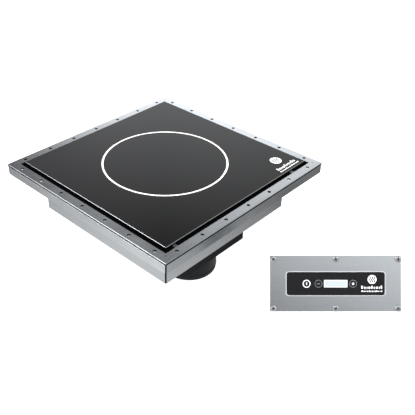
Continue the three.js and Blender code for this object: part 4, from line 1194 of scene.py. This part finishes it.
class HOB_OT_fan(HobPiece, bpy.types.Operator):
    """Fan housing and its turning rotor with curved blades"""
    bl_idname = "hob.fan"
    bl_label = "Fan"

    def make(self, scene):
        kit = finishes()
        refined("fan_housing", kit["fan"], 0.4)
        low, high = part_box("fan_rotor")
        centre = Vector(joint_named("fan_spin")["pos_m"])
        reach = high.x - centre.x
        hub, top, foot = 18 * MM, high.z, low.z
        x, y = centre.x, centre.y
        profile = [(2.6 * MM, foot + 1.2 * MM), (hub - 0.6 * MM, foot + 0.2 * MM), (hub, foot + 0.8 * MM),
                   (hub, top - 2.4 * MM), (hub - 0.7 * MM, top - 1.0 * MM), (hub - 2.4 * MM, top - 0.2 * MM),
                   (0, top)]
        closed = [(0, top - 5 * MM), (2.4 * MM, top - 5 * MM)] + profile
        blade = fan_blade(hub - 0.6 * MM, reach - 0.3 * MM, foot + 0.4 * MM, top - 0.4 * MM)
        spots = [((x, y, 0), (0, 0, i * 2 * math.pi / 7)) for i in range(7)]
        build("fan_rotor_hub", lathe(closed, 64, (x, y)), kit["fan"], "fan_rotor_body", ("fan_rotor",),
              "black_plastic", sharp=38)
        spread("fan_rotor_blades", blade, spots, kit["fan"], "fan_rotor_body")


def fan_blade(root, tip, foot, top, steps=10, across=8):
    """One cambered blade from hub to tip, which flattens outwards."""
    shape = Shape()
    thick = 0.7 * MM
    sections = []
    for i in range(steps + 1):
        t = i / steps
        r = root + (tip - root) * t
        lean = math.radians(48 - 22 * t)
        chord = (top - foot) * (1.0 if t < 0.85 else 1.0 - 0.25 * ((t - 0.85) / 0.15) ** 2)
        span = chord / math.tan(lean) * 0.62
        mid = (foot + top) / 2
        upper, lower = [], []
        for k in range(across + 1):
            s = k / across - 0.5
            bow = (0.25 - s * s) * 2.2 * MM
            angle = (s * span + bow * 0.6) / r
            z = mid + s * chord
            wall = thick * (1 - 1.2 * abs(s) ** 3)
            upper.append((r * math.cos(angle + wall / r), r * math.sin(angle + wall / r), z))
            lower.append((r * math.cos(angle - wall / r), r * math.sin(angle - wall / r), z))
        sections.append(shape.loop(upper + lower[::-1]))
    for first, second in zip(sections, sections[1:]):
        shape.band(first, second)
    shape.cap([sections[0]])
    shape.cap([sections[-1]])
    return shape


class HOB_OT_connections(HobPiece, bpy.types.Operator):
    """Mains gland, control socket and earth stud in the rear wall"""
    bl_idname = "hob.connections"
    bl_label = "Rear Connections"

    def make(self, scene):
        kit = finishes()
        refined("mains_gland", kit["fitting"], 0.35)
        refined("control_socket", kit["fitting"], 0.3)
        refined("earth_stud", kit["brass"], 0.25)


class HOB_OT_insides(HobPiece, bpy.types.Operator):
    """Coil winding and the finishes of the parts inside the casing"""
    bl_idname = "hob.insides"
    bl_label = "Parts Inside"

    def make(self, scene):
        kit = finishes()
        low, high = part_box("induction_coil")
        wire = (high.z - low.z) / 2 - 0.5 * MM
        inner, outer = 23 * MM, high.x - wire
        coil = winding_recipe().bake(
            blank(), Turns=(outer - inner) / (2.04 * wire),
            Inner_radius=inner + wire, Outer_radius=outer - 0.2 * MM, Wire_radius=wire,
            Centre=(0, 0, middle((low, high)).z), Finish=kit["copper"].material)
        piece("coil_winding", tidy(coil, sharp=60), None, replaces=("induction_coil",))
        for name in ("coil_spring_1", "coil_spring_2", "coil_spring_3"):
            dress(name, kit["bright"])
        for i in range(4):
            refined(f"ferrite_bar_{i + 1}", kit["ferrite"], 0.4)
        dressing = {
            "mica_sheet": "mica", "coil_support": "cream", "temperature_sensor": "cream",
            "coil_tray": "aluminium", "board_tray": "cream", "power_board": "board",
            "heatsink": "aluminium", "transistor_1": "chip", "transistor_2": "chip", "rectifier": "chip",
            "resonant_capacitor": "cream", "filter_capacitor": "cream", "filter_choke": "copper",
            "terminal_block": "cream", "panel_board": "board", "lcd_module": "cream",
            "power_switch": "fitting", "minus_switch": "fitting", "plus_switch": "fitting",
        }
        for node, name in dressing.items():
            dress(node, kit[name])


class HOB_OT_plate(HobPiece, bpy.types.Operator):
    """Brushed plate of the control panel and its six dome screws, with painted shade in their recesses"""
    bl_idname = "hob.plate"
    bl_label = "Panel Plate"

    def make(self, scene):
        sizes = scene.hob_panel
        kit = finishes()
        low, high = panel_box("panel_faceplate")
        w, h = high.x - low.x, high.y - low.y
        label_low, label_high = panel_box("keypad_label")
        window = rounded(label_high.x - label_low.x - 14 * MM, label_high.y - label_low.y - 14 * MM, MM)
        names = [f"faceplate_screw_{i}" for i in range(1, 7)]
        screws = [middle(panel_box(name)) for name in names]
        holes = [window] + [circle(2.3 * MM, (s.x, s.y), 28) for s in screws]
        plate = slab(rounded(w, h, sizes.corner, steps=6), edged(-1.5 * MM, 0, 0.22 * MM), holes)
        box_low, box_high = panel_box("panel_back_box")
        pad = slab(rounded(box_high.x - box_low.x + 2 * MM, box_high.y - box_low.y + 2 * MM, 2 * MM),
                   [(low.z, 0), (-1.4 * MM, 0)], [window])
        build("panel_plate_sheet", plate, kit["panel"], replaces=("panel_faceplate",), slot="panel_steel",
              place=PANEL, sharp=50)
        build("panel_plate_pad", pad, kit["panel"], slot="panel_steel", place=PANEL)
        head, rise = sizes.screw_head, sizes.screw_rise
        screw = dome_screw(head, rise, 0.3 * MM - panel_box(names[0])[0].z, 2 * MM, kit["screw"])
        spots = []
        for s, angle in zip(screws, (12, 55, 38, 70, 24, 8)):
            spin = Matrix.Rotation(math.radians(angle), 4, "Z")
            spots.append((PANEL @ Vector((s.x, s.y, 0.3 * MM)), (PANEL @ spin).to_euler()))
        piece("panel_screws", scattered(screw, spots, kit["screw"]), None, replaces=names)
        # Painted shade: a near-black cross at the floor of each screw's cross recess.
        recess_shade_cross = slab(cross(head * 0.54, head * 0.10), [(rise * 0.32, 0), (rise * 0.5, 0)])
        shadow = Shape().add(recess_shade_cross, Matrix.Rotation(math.pi / 4, 4, "Z"))
        spread("screw_recess_shadows", shadow, spots, kit["sealant"])


class HOB_OT_label(HobPiece, bpy.types.Operator):
    """Black keypad label with its bright outline and plain mark, and the display pane"""
    bl_idname = "hob.label"
    bl_label = "Keypad Label"

    def make(self, scene):
        sizes = scene.hob_panel
        kit = finishes()
        low, high = panel_box("keypad_label")
        w, h = high.x - low.x, high.y - low.y
        pane_low, pane_high = panel_box("display_window")
        pane_w, pane_h = pane_high.x - pane_low.x - 0.9 * MM, pane_high.y - pane_low.y - MM
        room = 0.3 * MM
        holes = [rounded(pane_w + 2 * room, pane_h + 2 * room, 0.5 * MM, steps=6)]
        for key in ("power", "minus", "plus"):
            a, b = panel_box(f"{key}_key")
            holes.append(circle((b.x - a.x) / 2 + room, (middle((a, b)).x, 0), 64))
        outline = rounded(w, h, sizes.label_corner, steps=10)
        build("keypad_label_film", slab(outline, [(low.z, 0), (high.z - 0.15 * MM, 0), (high.z, 0.15 * MM)],
                                        holes), kit["label"], replaces=("keypad_label",),
              slot="label_black", place=PANEL, sharp=50)
        border = slab(rounded(w + 2 * sizes.label_line, h + 2 * sizes.label_line,
                              sizes.label_corner + sizes.label_line, steps=10),
                      [(0.01 * MM, 0), (low.z, 0)], [rounded(w - MM, h - MM, sizes.label_corner, steps=10)])
        build("label_bright_edge", border, kit["edge"], slot="bright_steel", place=PANEL, sharp=50)
        build("display_pane", slab(rounded(pane_w, pane_h, 0.4 * MM, steps=4),
                                   [(pane_low.z, 0), (pane_high.z - 0.12 * MM, 0), (pane_high.z, 0.12 * MM)]),
              kit["display"], replaces=("display_window",), slot="display", place=PANEL, sharp=50)
        a, b = high.z + 0.005 * MM, high.z + 0.03 * MM
        disc, waves = heat_mark(7.3 * MM, a, b)
        white = Shape().add(disc, Matrix.Translation((59.2 * MM, 6.9 * MM, 0)))
        white.add(word_bars(34 * MM, 5.0 * MM, 9, a, b), Matrix.Translation((58.6 * MM, -5.9 * MM, 0)))
        white.add(word_bars(34 * MM, 2.4 * MM, 12, a, b), Matrix.Translation((58.8 * MM, -12.1 * MM, 0)))
        build("label_mark", white, kit["white"], place=PANEL)
        build("label_mark_waves", waves, kit["dark"],
              place=PANEL @ Matrix.Translation((59.2 * MM, 6.9 * MM, 0)))


class HOB_OT_keys(HobPiece, bpy.types.Operator):
    """Three round keys with their printed rings and signs"""
    bl_idname = "hob.keys"
    bl_label = "Keys"

    def make(self, scene):
        sizes = scene.hob_panel
        kit = finishes()
        for key in ("power", "minus", "plus"):
            body = f"{key}_key_body"
            low, high = panel_box(f"{key}_key")
            x = middle((low, high)).x
            r, top = (high.x - low.x) / 2, high.z
            under = top - 2.2 * MM
            profile = [(0, low.z), (2.2 * MM, low.z), (2.5 * MM, low.z + 0.3 * MM), (2.5 * MM, under),
                       (r - 0.2 * MM, under), (r, under + 0.2 * MM)]
            profile += arc((r - 0.45 * MM, top - 0.45 * MM), 0.45 * MM, 0, 90, 5)
            profile += [(0, top)]
            build(f"{key}_key_cap", lathe(profile, 64, (x, 0)), kit["label"], body, (f"{key}_key",),
                  "label_black", PANEL, sharp=45)
            a, b = top + 0.004 * MM, top + 0.03 * MM
            ring, line = ((sizes.power_ring, sizes.power_line) if key == "power"
                          else (sizes.step_ring, sizes.step_line))
            ring_shape = slab(circle(ring / 2, (x, 0), 64), [(a, 0), (b, 0)],
                              [circle(ring / 2 - line, (x, 0), 64)])
            sign = Shape()
            bars = {"power": [(1.7, 4.4)], "minus": [(4.8, 1.5)], "plus": [(4.2, 1.5), (1.5, 4.2)]}[key]
            for number, (wide, tall) in enumerate(bars):
                lift = number * 0.01 * MM
                sign.add(slab(rounded(wide * MM, tall * MM, 0.4 * MM, (x, 0), 3),
                              [(a + lift, 0), (b + lift, 0)]))
            ring_ink = kit["white"] if key == "power" else kit["grey"]
            sign_ink = kit["grey"] if key == "minus" else kit["white"]
            build(f"{key}_key_ring", ring_shape, ring_ink, body, place=PANEL)
            build(f"{key}_key_sign", sign, sign_ink, body, place=PANEL)


class HOB_OT_back_box(HobPiece, bpy.types.Operator):
    """Box behind the control panel with its blind cable grommet"""
    bl_idname = "hob.back_box"
    bl_label = "Panel Back Box"

    def make(self, scene):
        kit = finishes()
        refined("panel_back_box", kit["back_box"], 0.3)
        refined("panel_grommet", kit["rubber"], 0.4, segments=3)


BOUNCE_SIDE = 6.0
CAMERA_SPOT = (-0.7223, -0.7187, 0.6038)
CAMERA_AHEAD = (0.6089, 0.5981, -0.5212)


class HOB_OT_stage(HobPiece, bpy.types.Operator):
    """Pale floor, soft studio light and the camera"""
    bl_idname = "hob.stage"
    bl_label = "Studio"

    def make(self, scene):
        sizes = scene.hob_stage
        scene.view_settings.view_transform = "Standard"
        scene.view_settings.look = "None"
        floor_z = CAD_BOX[0][2]
        self.floor(sizes, floor_z)
        self.bounce(floor_z)
        self.room(scene, sizes)
        self.overhead(sizes)
        self.camera(scene)

    @staticmethod
    def sheet(name, side, z, material):
        mesh = bpy.data.meshes.new(name)
        r = side / 2
        mesh.from_pydata([(-r, -r, z), (r, -r, z), (r, r, z), (-r, r, z)], [], [(0, 1, 2, 3)])
        mesh.materials.append(material)
        made = bpy.data.objects.new(name, mesh)
        bpy.context.scene.collection.objects.link(made)
        return made

    def floor(self, sizes, z):
        """White floor that the eye sees; what the metal mirrors is the bounce card under it."""
        finish = Finish("pale_floor", Roughness=1.0, Base_Color=(0.8, 0.8, 0.8, 1),
                        Emission_Color=(1, 1, 1, 1), Emission_Strength=1.0)
        made = self.sheet("floor", sizes.floor_side, z - 0.2 * MM, finish.material)
        made.visible_glossy = False
        r, top = sizes.floor_side / 2.2, sizes.floor_side / 2
        wall = to_mesh("backdrop", lathe([(r, z - MM), (r, top), (0, top)], 64))
        wall.materials.append(finish.material)
        made = bpy.data.objects.new("backdrop", wall)
        bpy.context.scene.collection.objects.link(made)
        made.visible_glossy = made.visible_diffuse = made.visible_shadow = False

    def bounce(self, z):
        """Card that the low surfaces mirror: brightest at the front left, darker to both sides."""
        finish = Finish("bounce_card", Base_Color=(0, 0, 0, 1), Roughness=1.0, Emission_Strength=1.0)
        away = finish.node("ShaderNodeVectorMath", {"operation": "DISTANCE"},
                           {0: finish.place, 1: (-0.33, -0.05, z)}, out="Value")
        beyond = finish.along((1, 1, 0)).within(0.14, 0.5)
        glow = (1.05 - away * 1.3).at_least(0.22) + beyond * 0.5
        grey = finish.node("ShaderNodeCombineColor", inputs={0: glow, 1: glow, 2: glow})
        finish.feed("Emission Color", grey)
        made = self.sheet("bounce_card", BOUNCE_SIDE, z - 1.2 * MM, finish.material)
        made.visible_camera = False
        made.visible_diffuse = False
        made.visible_shadow = False

    def room(self, scene, sizes):
        """Plain room: a soft window low behind the hob, a front glow, a small key lamp and two fills."""
        world = bpy.data.worlds.new("studio_room")
        world.use_nodes = True
        scene.world = world
        tree = Tree(world.node_tree)
        back = world.node_tree.nodes["Background"]
        look = tree.node("ShaderNodeTexCoord", out="Generated")

        def lobe(direction):
            """1 where the room is looked at along the direction, and less away from it."""
            return tree.node("ShaderNodeVectorMath", {"operation": "DOT_PRODUCT"}, {0: look, 1: direction},
                             out="Value")

        az, el = math.radians(39.5), math.radians(18.5)
        window = lobe((math.cos(el) * math.cos(az), math.cos(el) * math.sin(az), math.sin(el)))
        glow = window.within(math.cos(math.radians(22)), math.cos(math.radians(4))) * sizes.window
        front = lobe((-0.26, -0.80, 0.54))
        key = lobe((-0.524, 0.603, 0.602))
        fill = 0.0
        for side in (math.radians(-35), math.radians(172)):
            near = lobe((0.906 * math.cos(side), 0.906 * math.sin(side), 0.423))
            fill = near.within(0.55, 0.97) * 0.45 + fill
        height = tree.node("ShaderNodeSeparateXYZ", inputs={0: look}, out="Z")
        glow = glow + front.within(0.80, 1.0) * 0.8 + key.within(0.972, 0.992) * 6 \
            + height.within(0.82, 0.96) * 0.3 + fill + sizes.room
        tint = tree.node("ShaderNodeCombineColor", inputs={0: glow * 0.985, 1: glow, 2: glow * 1.02})
        world.node_tree.links.new(tint.socket, back.inputs["Color"])

    @staticmethod
    def overhead(sizes):
        data = bpy.data.lights.new("overhead_softbox", "AREA")
        data.shape, data.size, data.size_y = "RECTANGLE", 1.8, 1.8
        data.energy = sizes.overhead
        made = bpy.data.objects.new("overhead_softbox", data)
        made.location = (0, -0.1, 2.2)
        made.visible_glossy = False
        bpy.context.scene.collection.objects.link(made)

    @staticmethod
    def camera(scene):
        data = bpy.data.cameras.new("camera")
        data.sensor_width, data.lens = 36, 57.2
        data.shift_x, data.shift_y = 0.0935, -0.0855
        made = bpy.data.objects.new("camera", data)
        ahead = Vector(CAMERA_AHEAD).normalized()
        right = ahead.cross(Vector((0, 0, 1))).normalized()
        up = right.cross(ahead)
        made.matrix_world = Matrix.Translation(CAMERA_SPOT) @ \
            Matrix((right, up, -ahead)).transposed().to_4x4()
        scene.collection.objects.link(made)
        scene.camera = made


PIECES = (HOB_OT_stage, HOB_OT_frame, HOB_OT_glass, HOB_OT_prints, HOB_OT_casing, HOB_OT_inlet, HOB_OT_fan,
          HOB_OT_connections, HOB_OT_insides, HOB_OT_plate, HOB_OT_label, HOB_OT_keys, HOB_OT_back_box)


class HOB_PT_maker(bpy.types.Panel):
    """Lists the hob's pieces and sizes in the sidebar"""
    bl_idname = "HOB_PT_maker"
    bl_label = "Induction Hob"
    bl_space_type = "VIEW_3D"
    bl_region_type = "UI"
    bl_category = "Induction Hob"

    def draw(self, context):
        for operator in PIECES:
            self.layout.operator(operator.bl_idname)
        for group in GROUPS:
            box = self.layout.box()
            values = getattr(context.scene, group)
            for name in values.__annotations__:
                box.prop(values, name)


CLASSES = (*GROUPS.values(), *PIECES, HOB_PT_maker)


def register():
    for kind in CLASSES:
        bpy.utils.register_class(kind)
    for name, kind in GROUPS.items():
        setattr(bpy.types.Scene, name, PointerProperty(type=kind))


def unregister():
    for name in GROUPS:
        delattr(bpy.types.Scene, name)
    for kind in reversed(CLASSES):
        bpy.utils.unregister_class(kind)


def main():
    register()
    for operator in PIECES:
        group, name = operator.bl_idname.split(".")
        getattr(getattr(bpy.ops, group), name)()


if __name__ == "__main__":
    main()
